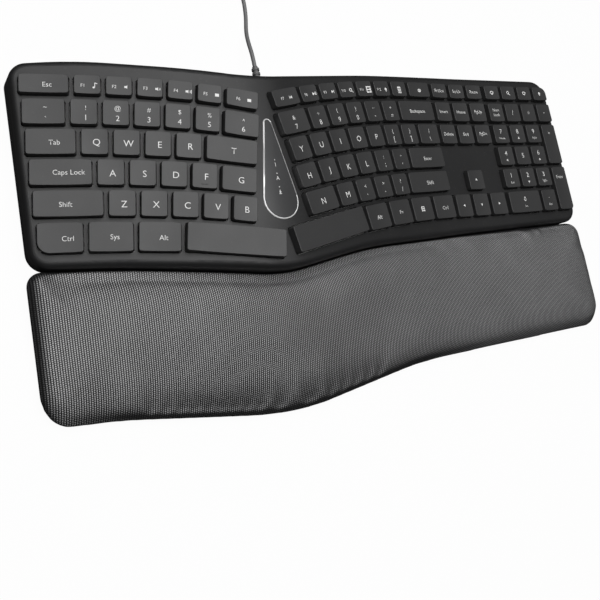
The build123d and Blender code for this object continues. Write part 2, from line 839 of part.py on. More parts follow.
board_top = height_at(window_foot[0]) - board_drop
board_mid_v = 0.5 * (board_pegs[0][1] + board_pegs[1][1])
with BuildPart() as indicator_board:
    with BuildSketch(deck.offset(board_top - board_thickness)):
        with Locations((board_pegs[0][0], board_mid_v)):
            Rectangle(board_width, board_length)
        with Locations(*board_pegs):
            Circle(board_peg_radius + screw_clearance, mode=Mode.SUBTRACT)
    extrude(amount=board_thickness)
    with BuildSketch(deck.offset(board_top)):
        with Locations(*lamp_places):
            Rectangle(lamp_size[0], lamp_size[1])
    extrude(amount=lamp_size[2])
save(indicator_board, "indicator_board")

# Controller board with its cable socket and chip
with BuildPart() as controller_board:
    with BuildSketch(Plane.XY.offset(board_level)):
        with Locations((board_x, board_y)):
            Rectangle(board_width_x, board_depth)
        with Locations(*[(board_x + x, board_y + y) for x, y in board_posts]):
            Circle(board_pin_radius + screw_clearance, mode=Mode.SUBTRACT)
    extrude(amount=pcb_thickness)
    with BuildSketch(Plane.XY.offset(board_level + pcb_thickness)):
        with Locations((board_x + 6.0, board_y - 2.0)):
            Rectangle(chip_side, chip_side)
    extrude(amount=chip_height)
    with BuildSketch(Plane.XY.offset(board_level + pcb_thickness)):
        with Locations((cable_exit_x, relief_inner_y)):
            Rectangle(socket_width, socket_depth, align=(Align.CENTER, Align.MAX))
    extrude(amount=socket_height)
save(controller_board, "controller_board")

# Tilt legs: a flat foot on two stub pins, folded into the floor
for side, name in ((-1, "tilt_leg_left"), (1, "tilt_leg_right")):
    with BuildPart() as leg:
        with BuildSketch(Plane.YZ.offset(side * leg_x)):
            with Locations((leg_pivot_y, leg_pivot_z)):
                Circle(leg_barrel)
                Rectangle(leg_length, leg_thickness, align=(Align.MAX, Align.CENTER))
        extrude(amount=0.5 * leg_width, both=True)
        tip = leg.edges().filter_by(Axis.X).sort_by(Axis.Y)[:2]
        fillet(tip, radius=1.0)
        with BuildSketch(Plane.YZ.offset(side * leg_x)):
            with Locations((leg_pivot_y, leg_pivot_z)):
                Circle(leg_pin)
        extrude(amount=0.5 * leg_width + leg_clearance + leg_pin_reach, both=True)
    save(leg, name)

# Palm rest: cover and foam over a hollow base, with a waved rear edge that follows the case
palm_left_v = -166.0
palm_right_v = -167.0
palm_front_wave = [((39.5, -170.4), 500), ((-76.5, -184.9), 224), ((-192.5, -167.5), 350)]
palm_front_corner = 17.0
palm_rear_left_radius = 8.5
palm_rear_right_radius = 10.0
palm_core_margin = 4.0
palm_core_wall = 2.2
palm_foot_places = [(-200.0, -90.0), (-75.0, -104.0), (60.0, -92.0), (205.0, -88.0)]
case_foot_places = [(-140.0, 96.0), (140.0, 100.0), (-200.0, 5.0), (200.0, 5.0), (0.0, 5.0)]
foot_radius = 5.0
palm_block_width = 12.0
palm_block_height = 7.6
palm_block_depth = 9.0


def palm_outline(inset=0.0):
    """Outline of the palm rest in plan, less an inset."""
    half = 0.5 * palm_width
    rear = [((u, v - palm_gap), r) for (u, v), r in front_wave]
    corners = [((-half, front_left_v - palm_gap), palm_rear_left_radius)] + rear[::-1]
    corners += [((half, front_right_v - palm_gap), palm_rear_right_radius)]
    corners += [((half, palm_right_v), palm_front_corner)]
    corners += palm_front_wave
    corners += [((-half, palm_left_v), palm_front_corner)]
    with BuildSketch(Plane.XY) as outline:
        with BuildLine():
            FilletPolyline(*[p for p, _ in corners], radius=[r for _, r in corners], close=True)
        make_face()
        if inset:
            offset(amount=-inset, mode=Mode.REPLACE)
    return outline.sketch


# Stations along the arch for the smooth top of the palm rest, between level ends
palm_stations = [-profile_end, -190.0, -145.0, -110.0, crown_u, -50.0, 0.0, 40.0, 80.0]
palm_stations += [flat_start, 180.0, profile_end]
palm_rear_station = -65.0
palm_front_station = -190.0
palm_edge_v = -172.0


def cross_section(v):
    """Upright plane across the palm rest at v, facing the user."""
    return Plane(origin=deck.from_local_coords((0, v, 0)), x_dir=(1, 0, 0), z_dir=-deck.y_dir)


def palm_block(lowered, inset, edge_radius=0.0):
    """Palm rest solid whose crown fades from the deck's arch to a level front edge."""
    level = palm_front_height - lowered - numpad_height - palm_edge_v * sin(radians(deck_tilt))
    with BuildPart() as block:
        with BuildSketch(cross_section(palm_rear_station)):
            with BuildLine():
                tops = [(u, height_at(u) - deck_drop - lowered) for u in palm_stations]
                Spline(*tops)
                Polyline(tops[0], (-profile_end, -deep_drop), (profile_end, -deep_drop), tops[-1])
            make_face()
        with BuildSketch(cross_section(palm_front_station)):
            with BuildLine():
                Line((-profile_end, level), (profile_end, level))
                Polyline((-profile_end, level), (-profile_end, -deep_drop), (profile_end, -deep_drop),
                         (profile_end, level))
            make_face()
        loft(ruled=True)
        with BuildSketch(deck.offset(-deep_drop - 1.0)):
            add(palm_outline(inset))
        extrude(amount=2 * deep_drop, mode=Mode.INTERSECT)
        if edge_radius:
            crest = block.faces().sort_by(Axis(deck.origin, deck.z_dir))[-1]
            fillet(crest.edges(), radius=edge_radius)
    return block.part


def palm_screw_block(grow, bottom, top):
    """Blocks at the rear of the palm rest that take its screws, cut to its outline."""
    with BuildPart() as blocks:
        for x in palm_screw_places:
            with BuildSketch(Plane.XY.offset(bottom)):
                with Locations((x, wall_y(x, palm_screw_level) + 2.0)):
                    Rectangle(palm_block_width + 2 * grow, palm_block_depth + grow + 2.0,
                              align=(Align.CENTER, Align.MAX))
        extrude(amount=top - bottom)
        with BuildSketch(deck.offset(-deep_drop)):
            add(palm_outline())
        extrude(amount=2 * deep_drop, mode=Mode.INTERSECT)
    return blocks.part


layer_fit = 0.05
rest_bottom = Plane.XY.offset(palm_base_top)
foot_boss_radius = foot_radius + 1.5


def palm_rim():
    """Slab under the turned-down edge of the cover."""
    with BuildPart() as slab:
        with BuildSketch(deck.offset(-deep_drop)):
            add(palm_outline(palm_rim_inset))
        extrude(amount=2 * deep_drop)
        split(bisect_by=rest_bottom, keep=Keep.BOTTOM)
    return slab.part


def palm_foot_bosses():
    """Bosses over the feet, up to the roof of the palm rest's base."""
    with BuildPart() as bosses:
        with BuildSketch(Plane.XY.offset(-foot_height)):
            with Locations(*palm_foot_places):
                Circle(foot_boss_radius)
        extrude(amount=deep_drop)
        add(palm_block(core_top, core_inset), mode=Mode.INTERSECT)
    return bosses.part


# Fabric cover with a turned-down edge, open below
with BuildPart() as palm_rest_cover:
    add(palm_block(0.0, 0.0, palm_edge_radius))
    add(palm_block(cover_thickness, cover_thickness, palm_edge_radius - cover_thickness), mode=Mode.SUBTRACT)
    split(bisect_by=rest_bottom, keep=Keep.TOP)
    add(palm_screw_block(layer_fit, 0.0, palm_block_height + layer_fit), mode=Mode.SUBTRACT)
save(palm_rest_cover, "palm_rest_cover")

# Foam pad under the cover
core_drop = cover_thickness + foam_thickness
with BuildPart() as palm_rest_pad:
    foam_inset = cover_thickness + layer_fit
    add(palm_block(foam_inset, foam_inset, palm_edge_radius - foam_inset))
    add(palm_block(core_drop, palm_core_margin), mode=Mode.SUBTRACT)
    split(bisect_by=rest_bottom, keep=Keep.TOP)
    add(palm_screw_block(layer_fit, 0.0, palm_block_height + layer_fit), mode=Mode.SUBTRACT)
save(palm_rest_pad, "palm_rest_pad")

# Hollow base of the palm rest, with a rim under the cover, foot bosses and screw blocks
core_inset = palm_core_margin + layer_fit
core_top = core_drop + layer_fit
with BuildPart() as palm_rest_base:
    add(palm_block(core_top, core_inset))
    add(palm_rim())
    add(palm_block(core_top + palm_core_wall, core_inset + palm_core_wall), mode=Mode.SUBTRACT)
    add(palm_foot_bosses())
    add(palm_screw_block(0.0, -foot_height, palm_block_height))
    split(bisect_by=Plane.XY.offset(foot_height), keep=Keep.TOP)
    for x in palm_screw_places:
        with BuildSketch(Plane.XZ.offset(-wall_y(x, palm_screw_level) - 2 * cut_overrun)):
            with Locations((x, palm_screw_level)):
                Circle(screw_radius + screw_clearance)
    extrude(amount=palm_screw_reach + pin_hole_room, mode=Mode.SUBTRACT)
save(palm_rest_base, "palm_rest_base")

with BuildPart() as rubber_feet:
    with BuildSketch(Plane.XY):
        with Locations(*(palm_foot_places + case_foot_places)):
            Circle(foot_radius)
    extrude(amount=foot_height)
save(rubber_feet, "rubber_feet")

# Strain relief: flange inside the rear wall, ribbed cone outside it
tip_y = exit_y + relief_length
collar_start = exit_y + 0.6
collar_radius = 3.4
relief_tip_radius = 2.0
rib_count = 5
rib_step = (relief_length - 3.0) / rib_count
rib_height = 0.7
collar_length = 1.4
first_rib = 2.6


def relief_radius_at(y):
    """Radius of the strain relief's cone at a place along it."""
    share = (y - collar_start) / (tip_y - collar_start)
    return relief_radius + share * (relief_tip_radius - relief_radius)


relief_plane = Plane(origin=(cable_exit_x, 0, exit_height), x_dir=(0, 1, 0), z_dir=(1, 0, 0))
with BuildPart() as cable_strain_relief:
    with BuildSketch(relief_plane):
        with BuildLine():
            outline = [(relief_inner_y, 0), (relief_inner_y, flange_radius), (flange_y, flange_radius),
                       (flange_y, relief_radius), (collar_start, relief_radius),
                       (collar_start, collar_radius), (collar_start + collar_length, collar_radius)]
            for n in range(rib_count):
                start = collar_start + first_rib + n * rib_step
                outline += [(start, relief_radius_at(start)), (start, relief_radius_at(start) + rib_height),
                            (start + 0.5 * rib_step, relief_radius_at(start) + rib_height),
                            (start + 0.5 * rib_step, relief_radius_at(start + 0.5 * rib_step))]
            outline += [(tip_y, relief_tip_radius), (tip_y, 0)]
            Polyline(*outline, close=True)
        make_face()
    revolve(axis=Axis((cable_exit_x, 0, exit_height), (0, 1, 0)))
save(cable_strain_relief, "cable_strain_relief")

# Cable from the relief's tip down to the desk and along it to the coil
coil_level = 2.8
coil_start_y = 212.0
coil_x = -51.5
cable_route = [
    (cable_exit_x, tip_y, exit_height),
    (cable_exit_x, tip_y + 10.0, exit_height),
    (-56.0, 145.0, 8.6),
    (-55.0, 157.0, 3.2),
    (-53.6, 170.0, 1.8),
    (-52.2, 184.5, 1.7),
    (coil_x, 199.0, coil_level),
    (coil_x, coil_start_y, coil_level),
]


def route_radii(route):
    """Largest arc at each corner that its two runs allow."""
    radii = []
    for before, corner, after in zip(route, route[1:], route[2:]):
        into = Vector(corner) - Vector(before)
        out = Vector(after) - Vector(corner)
        half_turn = radians(into.get_angle(out)) / 2
        radii.append(0.45 * min(into.length, out.length) / tan(half_turn))
    return radii


cable_radii = route_radii(cable_route)
print("cable arc radii", [round(r, 1) for r in cable_radii])
with BuildPart() as usb_cable:
    with BuildLine() as route_line:
        FilletPolyline(*cable_route, radius=cable_radii)
    with BuildSketch(Plane(origin=cable_route[0], z_dir=(0, 1, 0))):
        Circle(0.5 * cable_diameter)
    sweep()
route_length = sum(edge.length for edge in route_line.edges())
section = pi * (0.5 * cable_diameter) ** 2
volume_share = usb_cable.part.volume / section / route_length
print("cable length", round(route_length, 1), "volume share", round(volume_share, 4))
save(usb_cable, "usb_cable")

# Put-away coil: layers that spiral in and out by turns, then a tail down to the plug
coil_radius = 21.5
coil_turns = 3
coil_layers = 4
coil_pitch = 3.5
layer_step = 3.45
climb_room = 0.6
plug_height = 9.4
tail_length = 44.0
centre_y = coil_start_y + cable_diameter
centre_x = coil_x + coil_radius

with BuildPart() as usb_cable_coil:
    with BuildLine() as coil_line:
        point = Vector(coil_x, centre_y, coil_level)
        Line((coil_x, coil_start_y, coil_level), point)
        side = -1
        reach = coil_radius
        level = coil_level
        for layer in range(coil_layers):
            halves = 2 * coil_turns + (1 if layer == coil_layers - 1 else 0)
            inward = -1 if layer % 2 == 0 else 1
            for half in range(halves):
                reach += 0.5 * coil_pitch * inward
                if half == 0 and layer > 0:
                    reach += climb_room * inward
                if half == halves - 1 and layer < coil_layers - 1:
                    reach += climb_room * inward
                target = Vector(centre_x - side * reach, centre_y, level)
                TangentArc(point, target, tangent=(0, -side, 0))
                point = target
                side = -side
            if layer < coil_layers - 1:
                bulge = sqrt(reach * reach + 0.25 * layer_step * layer_step)
                middle = Vector(centre_x, centre_y - side * bulge, level + 0.5 * layer_step)
                level += layer_step
                target = Vector(centre_x - side * reach, centre_y, level)
                climb = TangentArc(point, middle, tangent=(0, -side, 0))
                TangentArc(middle, target, tangent=climb % 1)
                point = target
                side = -side
        last_radius = reach + 0.25 * coil_pitch
        target = Vector(centre_x - reach + last_radius, centre_y + last_radius, level)
        TangentArc(point, target, tangent=(0, 1, 0))
        plug_level = 0.5 * plug_height
        halfway = target + Vector(0.5 * tail_length, 0, 0.5 * (plug_level - level))
        tail_end = target + Vector(tail_length, 0, plug_level - level)
        descent = TangentArc(target, halfway, tangent=(1, 0, 0))
        TangentArc(halfway, tail_end, tangent=descent % 1)
        plug_start = tail_end + Vector(cable_diameter, 0, 0)
        Line(tail_end, plug_start)
    with BuildSketch(Plane(origin=(coil_x, coil_start_y, coil_level), z_dir=(0, 1, 0))):
        Circle(0.5 * cable_diameter)
    sweep()
coil_length = sum(edge.length for edge in coil_line.edges())
volume_share = usb_cable_coil.part.volume / section / coil_length
print("coil length", round(coil_length, 1), "volume share", round(volume_share, 4))
samples = []
travelled = 0.0
for edge in coil_line.edges():
    count = max(2, round(edge.length / 1.5))
    for n in range(count):
        place = edge.position_at(n / count)
        samples.append((travelled + edge.length * n / count, (place.X, place.Y, place.Z)))
    travelled += edge.length
near = 5 * cable_diameter
gap = min(dist(p, q) for i, (a, p) in enumerate(samples) for b, q in samples[i + 1:] if b - a > near)
print("coil least gap to itself", round(gap - cable_diameter, 3))
save(usb_cable_coil, "usb_cable_coil")

# Tie round the turns on the coil's outer side
tie_width = 6.0
tie_thickness = 1.0
tie_clearance = 0.3
tie_inner = coil_radius - coil_turns * coil_pitch - climb_room - 0.5 * cable_diameter - 3 * tie_clearance
tie_outer = coil_radius + climb_room + 0.5 * cable_diameter + tie_clearance
tie_bottom = coil_level - 0.5 * cable_diameter - tie_clearance
tie_top = coil_level + (coil_layers - 1) * layer_step + 0.5 * cable_diameter + tie_clearance
with BuildPart() as cable_tie:
    with BuildSketch(Plane.XZ.offset(-centre_y)):
        with BuildLine():
            low = tie_bottom - tie_thickness
            high = tie_top + tie_thickness
            left = centre_x + tie_inner - tie_thickness
            right = centre_x + tie_outer + tie_thickness
            FilletPolyline((left, low), (right, low), (right, high), (left, high), radius=2.0, close=True)
        make_face()
        with BuildLine():
            left = centre_x + tie_inner
            right = centre_x + tie_outer
            corners = [(left, tie_bottom), (right, tie_bottom), (right, tie_top), (left, tie_top)]
            FilletPolyline(*corners, radius=1.0, close=True)
        make_face(mode=Mode.SUBTRACT)
    extrude(amount=0.5 * tie_width, both=True)
save(cable_tie, "cable_tie")

# Plug: overmould with a neck, hollow metal shell and its contact tongue
plug_width = 16.0
plug_length = 22.0
neck_length = 6.0
neck_radius = 2.8
shell_width = 12.0
shell_height = 4.5
shell_length = 12.0
shell_wall = 0.4
tongue_thickness = 1.8
tongue_setback = 1.0
plug_corner = 2.5


def plug_section(reach):
    """Plane square to the plug, a reach along it from the cable's end."""
    return Plane(origin=plug_start + Vector(reach, 0, 0), x_dir=(0, 1, 0), z_dir=(1, 0, 0))


with BuildPart() as usb_plug:
    with BuildSketch(plug_section(0.0)):
        Circle(neck_radius)
    extrude(amount=neck_length)
    with BuildSketch(plug_section(neck_length)):
        RectangleRounded(plug_width, plug_height, plug_corner)
    extrude(amount=plug_length)
    with BuildSketch(plug_section(neck_length + plug_length)):
        Rectangle(shell_width, shell_height)
        Rectangle(shell_width - 2 * shell_wall, shell_height - 2 * shell_wall, mode=Mode.SUBTRACT)
    extrude(amount=shell_length)
    with BuildSketch(plug_section(neck_length + plug_length)):
        with Locations((0, 0.5 * shell_height - shell_wall)):
            Rectangle(shell_width - 2 * shell_wall, tongue_thickness, align=(Align.CENTER, Align.MAX))
    extrude(amount=shell_length - tongue_setback)
save(usb_plug, "usb_plug")
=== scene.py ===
from math import cos, pi, radians, sin

import bmesh
import bpy
from mathutils import Matrix, Vector
from mathutils.bvhtree import BVHTree
from mathutils.kdtree import KDTree


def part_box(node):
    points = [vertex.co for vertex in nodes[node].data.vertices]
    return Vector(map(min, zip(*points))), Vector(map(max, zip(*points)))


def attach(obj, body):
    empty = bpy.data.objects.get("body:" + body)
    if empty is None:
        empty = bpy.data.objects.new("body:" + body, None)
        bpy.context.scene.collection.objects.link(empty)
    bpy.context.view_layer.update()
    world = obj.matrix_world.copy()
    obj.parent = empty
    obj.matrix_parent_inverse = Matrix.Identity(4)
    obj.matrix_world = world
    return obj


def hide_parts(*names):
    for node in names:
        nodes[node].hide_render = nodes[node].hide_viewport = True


# Arched desk keyboard: two key halves and a number pad on one case, with a cushioned palm rest
# in front and a thin cable behind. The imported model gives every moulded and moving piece.
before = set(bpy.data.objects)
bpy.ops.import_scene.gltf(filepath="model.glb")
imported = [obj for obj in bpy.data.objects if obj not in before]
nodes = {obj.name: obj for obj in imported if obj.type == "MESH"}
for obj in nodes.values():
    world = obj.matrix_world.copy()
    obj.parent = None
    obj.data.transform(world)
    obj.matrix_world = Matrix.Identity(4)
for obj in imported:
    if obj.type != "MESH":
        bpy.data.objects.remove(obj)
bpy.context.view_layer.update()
MM = 0.001


# Camera: above and outside the front left corner, turned so that the keyboard leans in the
# picture, with a shift that leaves the lower third of the frame empty.
def place_object(name, data):
    """A new object of the scene, at the origin."""
    placed = bpy.data.objects.new(name, data)
    bpy.context.scene.collection.objects.link(placed)
    return placed


camera_data = bpy.data.cameras.new("camera")
camera_data.sensor_width = 36.0
camera_data.lens = 46.348
camera_data.shift_x = 0.030051
camera_data.shift_y = -0.128230
camera_data.clip_start = 0.01
camera = place_object("camera", camera_data)
camera.location = (-0.32328, -0.10931, 0.46190)
camera.rotation_euler = (radians(18.434), radians(-27.379), radians(-12.509))
bpy.context.scene.camera = camera

# Cable: a thin round lead in grey vinyl over four fine wires. It leaves the strain relief, comes
# down to the desk, runs back and lies in a tied coil of three turns in four layers.
cable_diameter = 3.0


def node_tree(material):
    """A material's node tree with its shader and output only."""
    material.use_nodes = True
    tree = material.node_tree
    tree.nodes.clear()
    shader = tree.nodes.new("ShaderNodeBsdfPrincipled")
    output = tree.nodes.new("ShaderNodeOutputMaterial")
    tree.links.new(shader.outputs["BSDF"], output.inputs["Surface"])
    return tree, shader


def new_group(name, inputs, outputs):
    """An empty effect group with named sockets."""
    group = bpy.data.node_groups.new(name, "ShaderNodeTree")
    for socket_name, kind, value in inputs:
        socket = group.interface.new_socket(socket_name, in_out="INPUT", socket_type=kind)
        socket.default_value = value
    for socket_name, kind in outputs:
        group.interface.new_socket(socket_name, in_out="OUTPUT", socket_type=kind)
    return group, group.nodes.new("NodeGroupInput"), group.nodes.new("NodeGroupOutput")


def feed(tree, socket, value):
    """Link a socket to another node's output, or give it a plain value."""
    if isinstance(value, bpy.types.NodeSocket):
        tree.links.new(value, socket)
    else:
        socket.default_value = value


def scalar(tree, operation, first, second, clamp=False):
    """A math node fed by links or numbers."""
    step = tree.nodes.new("ShaderNodeMath")
    step.operation = operation
    step.use_clamp = clamp
    feed(tree, step.inputs[0], first)
    feed(tree, step.inputs[1], second)
    return step.outputs[0]


def noise(tree, coordinates, size, detail=2.0):
    """Noise with features of a size in metres."""
    texture = tree.nodes.new("ShaderNodeTexNoise")
    texture.inputs["Scale"].default_value = 1.0 / size
    texture.inputs["Detail"].default_value = detail
    tree.links.new(coordinates, texture.inputs["Vector"])
    return texture.outputs["Fac"]


def swing(tree, texture, amount):
    """A texture's swing about its middle, times an amount."""
    return scalar(tree, "MULTIPLY", scalar(tree, "SUBTRACT", texture, 0.5), amount)


def brightened(tree, colour, value):
    """A colour with its brightness multiplied."""
    shade = tree.nodes.new("ShaderNodeHueSaturation")
    tree.links.new(colour, shade.inputs["Color"])
    tree.links.new(value, shade.inputs["Value"])
    return shade.outputs["Color"]


def mixed_colour(tree, share, first, second):
    """Two colours, each a link or a plain value, mixed by a share."""
    mix = tree.nodes.new("ShaderNodeMix")
    mix.data_type = "RGBA"
    tree.links.new(share, mix.inputs["Factor"])
    feed(tree, mix.inputs["A"], first)
    feed(tree, mix.inputs["B"], second)
    return mix.outputs["Result"]


def add_bump(tree, shader, height, strength, depth):
    """Relief of a depth in metres on a shader's normal."""
    bump = tree.nodes.new("ShaderNodeBump")
    bump.inputs["Strength"].default_value = strength
    bump.inputs["Distance"].default_value = depth
    tree.links.new(height, bump.inputs["Height"])
    tree.links.new(bump.outputs["Normal"], shader.inputs["Normal"])


# Grain, cloudy gloss and dust of every plastic and rubber piece
grain_size = 0.45 * MM
grain_depth = 0.02 * MM
grain_strength = 0.6
grain_gloss = 0.12
cloud_size = 26.0 * MM
cloud_gloss = 0.16
speck_size = 1.6 * MM
speck_threshold = 0.66
dust_power = 3.0
dust_colour = (0.42, 0.41, 0.39, 1.0)


def moulded_group():
    """Moulded plastic: spark grain, cloudy gloss and a little dust on what faces up."""
    group, inlet, outlet = new_group("moulded_plastic", [
        ("Colour", "NodeSocketColor", (0.02, 0.02, 0.02, 1.0)),
        ("Roughness", "NodeSocketFloat", 0.5),
        ("Grain", "NodeSocketFloat", 1.0),
        ("Cloud", "NodeSocketFloat", 0.05),
        ("Dust", "NodeSocketFloat", 0.02),
    ], [("Colour", "NodeSocketColor"), ("Roughness", "NodeSocketFloat"), ("Height", "NodeSocketFloat")])
    place = group.nodes.new("ShaderNodeTexCoord").outputs["Object"]
    grain = noise(group, place, grain_size)
    cloud = noise(group, place, cloud_size, 3.0)
    speck = noise(group, place, speck_size, 4.0)
    facing = group.nodes.new("ShaderNodeSeparateXYZ")
    group.links.new(group.nodes.new("ShaderNodeNewGeometry").outputs["Normal"], facing.inputs[0])
    upward = scalar(group, "POWER", scalar(group, "MAXIMUM", facing.outputs["Z"], 0.0), dust_power)
    settled = scalar(group, "MULTIPLY", scalar(group, "GREATER_THAN", speck, speck_threshold), upward)
    dust = scalar(group, "MULTIPLY", settled, inlet.outputs["Dust"])
    shade = scalar(group, "ADD", 1.0, swing(group, cloud, inlet.outputs["Cloud"]))
    clean = brightened(group, inlet.outputs["Colour"], shade)
    group.links.new(mixed_colour(group, dust, clean, dust_colour), outlet.inputs["Colour"])
    rough = scalar(group, "ADD", inlet.outputs["Roughness"], swing(group, cloud, cloud_gloss))
    fine = swing(group, grain, grain_gloss)
    group.links.new(scalar(group, "ADD", rough, fine, clamp=True), outlet.inputs["Roughness"])
    group.links.new(scalar(group, "MULTIPLY", grain, inlet.outputs["Grain"]), outlet.inputs["Height"])
    return group


moulded_plastic = moulded_group()


def plastic(name, colour, roughness, grain=1.0, cloud=0.12, dust=0.02, metallic=0.0):
    """A moulded plastic or rubber in one linear colour, with its share of grain, cloud and dust."""
    material = bpy.data.materials.new(name)
    tree, shader = node_tree(material)
    effect = tree.nodes.new("ShaderNodeGroup")
    effect.node_tree = moulded_plastic
    effect.inputs["Colour"].default_value = (*colour, 1.0)
    effect.inputs["Roughness"].default_value = roughness
    effect.inputs["Grain"].default_value = grain
    effect.inputs["Cloud"].default_value = cloud
    effect.inputs["Dust"].default_value = dust
    tree.links.new(effect.outputs["Colour"], shader.inputs["Base Color"])
    tree.links.new(effect.outputs["Roughness"], shader.inputs["Roughness"])
    add_bump(tree, shader, effect.outputs["Height"], grain_strength, grain_depth)
    shader.inputs["Metallic"].default_value = metallic
    return material


relief_tip_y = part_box("cable_strain_relief")[1].y / MM
cable_route = [
    (-56.5, relief_tip_y, 13.2),
    (-56.5, relief_tip_y + 10.0, 13.2),
    (-55.2, 145.0, 8.6),
    (-52.0, 157.0, 3.2),
    (-48.6, 170.0, 1.8),
    (-47.6, 184.5, 1.7),
    (-50.3, 199.0, 2.8),
    (-51.5, 212.0, 2.8),
]
coil_radius = 21.5
coil_turns = 3
coil_layers = 4
coil_pitch = 3.5
layer_step = 3.45
climb_room = 0.6
steps_per_half = 12
coil_x = cable_route[-1][0] + coil_radius
coil_y = cable_route[-1][1] + cable_diameter

# Each half turn of the coil: its radius and level at both ends
half_turns = []
reach, level = coil_radius, cable_route[-1][2]
for layer in range(coil_layers):
    last_layer = layer == coil_layers - 1
    halves = 2 * coil_turns + (1 if last_layer else 0)
    inward = -1 if layer % 2 == 0 else 1
    for half in range(halves):
        before = reach
        reach += 0.5 * coil_pitch * inward
        if (half == 0 and layer > 0) or (half == halves - 1 and not last_layer):
            reach += climb_room * inward
        half_turns.append((before, reach, level, level))
    if not last_layer:
        half_turns.append((reach, reach, level, level + layer_step))
        level += layer_step

# The control points stand a little outside the turns, because the spline cuts inside them
coil_points = []
stretch = 1.0 / cos(pi / steps_per_half / 2)
for index, (r0, r1, z0, z1) in enumerate(half_turns):
    for step in range(steps_per_half):
        share = (step + 0.5) / steps_per_half
        angle = pi * (1.0 - index - share)
        radius = (r0 + share * (r1 - r0)) * stretch
        rise = z0 + (z1 - z0) * (3 - 2 * share) * share * share
        coil_points.append((coil_x + radius * cos(angle), coil_y + radius * sin(angle), rise))

# The tail leaves the last turn in a quarter bend and runs straight to the plug. Each pair is a
# share of its length and the share of its fall that it has made there
plug_level = 4.7
tail_length = 44.0
tail_fall = ((0.0, 0.0), (0.25, 0.08), (0.5, 0.5), (0.75, 0.92), (1.0, 1.0))
bend_radius = reach + 0.25 * coil_pitch
corner_x, corner_y = coil_x - reach, coil_y + bend_radius
tail_x = corner_x + bend_radius
tail_points = [
    (corner_x, coil_y + 0.4 * bend_radius, level),
    (corner_x + 0.17 * bend_radius, corner_y - 0.17 * bend_radius, level),
    (tail_x - 0.4 * bend_radius, corner_y, level),
]
for share, fall in tail_fall:
    tail_points.append((tail_x + share * tail_length, corner_y, level + fall * (plug_level - level)))
tail_points.append((tail_x + tail_length + cable_diameter, corner_y, plug_level))

cable_curve = bpy.data.curves.new("usb_cable_run", "CURVE")
cable_curve.dimensions = "3D"
cable_curve.bevel_depth = 0.5 * cable_diameter * MM
cable_curve.bevel_resolution = 3
cable_curve.resolution_u = 4
spline = cable_curve.splines.new("NURBS")
cable_points = cable_route + coil_points + tail_points
spline.points.add(len(cable_points) - 1)
for point, place in zip(spline.points, cable_points):
    point.co = (*[MM * value for value in place], 1.0)
spline.order_u = 3
spline.use_endpoint_u = True
cable = place_object("usb_cable_run", cable_curve)
cable_curve.materials.append(plastic("cable_vinyl", (0.19, 0.19, 0.192), 0.42, grain=0.3))
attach(cable, "case")
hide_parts("usb_cable", "usb_cable_coil")


# Strain relief, plug and tie: the ribbed relief is moulded with the sheath, the plug is a hard
# overmould on a steel shell, and the tie is a soft black strap round the turns.
def finish_node(name, material):
    """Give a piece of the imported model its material."""
    piece = nodes[name]
    piece.data.materials.clear()
    piece.data.materials.append(material)
    return piece


relief = finish_node("cable_strain_relief", plastic("relief_vinyl", (0.13, 0.13, 0.131), 0.5, grain=0.6))
plug = finish_node("usb_plug", plastic("plug_plastic", (0.022, 0.022, 0.023), 0.38, grain=0.8))
tie = finish_node("cable_tie", plastic("tie_strap", (0.012, 0.012, 0.013), 0.75, grain=2.0))

# Case: two moulded shells in black plastic, screwed together from below. The deck is a fine spark
# grain, the base a little coarser, and the two tilt legs are the same plastic as the base.
finish_node("top_case", plastic("deck_plastic", (0.014, 0.014, 0.0145), 0.46, dust=0.03))
base_plastic = plastic("base_plastic", (0.011, 0.011, 0.0115), 0.52, grain=1.6)
for name in ("base_case", "palm_rest_base", "tilt_leg_left", "tilt_leg_right"):
    finish_node(name, base_plastic)

# Feet and screws: nine rubber discs glued under the case and the palm rest, and cross-head screws
# in blackened steel, rubbed a little unevenly.
finish_node("rubber_feet", plastic("foot_rubber", (0.010, 0.010, 0.010), 0.85, grain=2.2))
screw_steel = bpy.data.materials.new("screw_steel")
scratch_size = 0.3 * MM
least_roughness, scratch_roughness = 0.22, 0.3
tree, shader = node_tree(screw_steel)
shader.inputs["Base Color"].default_value = (0.10, 0.10, 0.105, 1.0)
shader.inputs["Metallic"].default_value = 1.0
scratch = noise(tree, tree.nodes.new("ShaderNodeTexCoord").outputs["Object"], scratch_size, 3.0)
rubbed = scalar(tree, "ADD", least_roughness, scalar(tree, "MULTIPLY", scratch, scratch_roughness))
tree.links.new(rubbed, shader.inputs["Roughness"])
finish_node("case_screws", screw_steel)
finish_node("palm_rest_screws", screw_steel)

# Layers under the keys: a guide frame in white plastic, a grey silicone dome sheet, printed
# films and a zinc coated plate, with the controller and lamp boards beside them.
hidden_finishes = {
    "key_guide_frame": plastic("guide_plastic", (0.45, 0.45, 0.44), 0.5, grain=0.8),
    "rubber_domes": plastic("dome_silicone", (0.28, 0.29, 0.30), 0.6, grain=0.6),
    "membrane_sheets": plastic("membrane_film", (0.40, 0.43, 0.45), 0.25, grain=0.1),
    "backing_plate": plastic("plate_zinc", (0.32, 0.32, 0.33), 0.35, grain=0.3),
    "controller_board": plastic("board_green", (0.012, 0.085, 0.035), 0.35, grain=0.2),
    "indicator_board": plastic("lamp_board_green", (0.012, 0.085, 0.035), 0.35, grain=0.2),
}
for name, material in hidden_finishes.items():
    finish_node(name, material)

# Keys: moulded caps in black plastic, each with a shallow dish, soft top edges and a stem that
# slides in the guide frame.
key_plastic = plastic("key_plastic", (0.038, 0.038, 0.0385), 0.44, grain=1.2)
for name in nodes:
    if name.endswith(("_key", "_keys", "_bar")):
        finish_node(name, key_plastic)

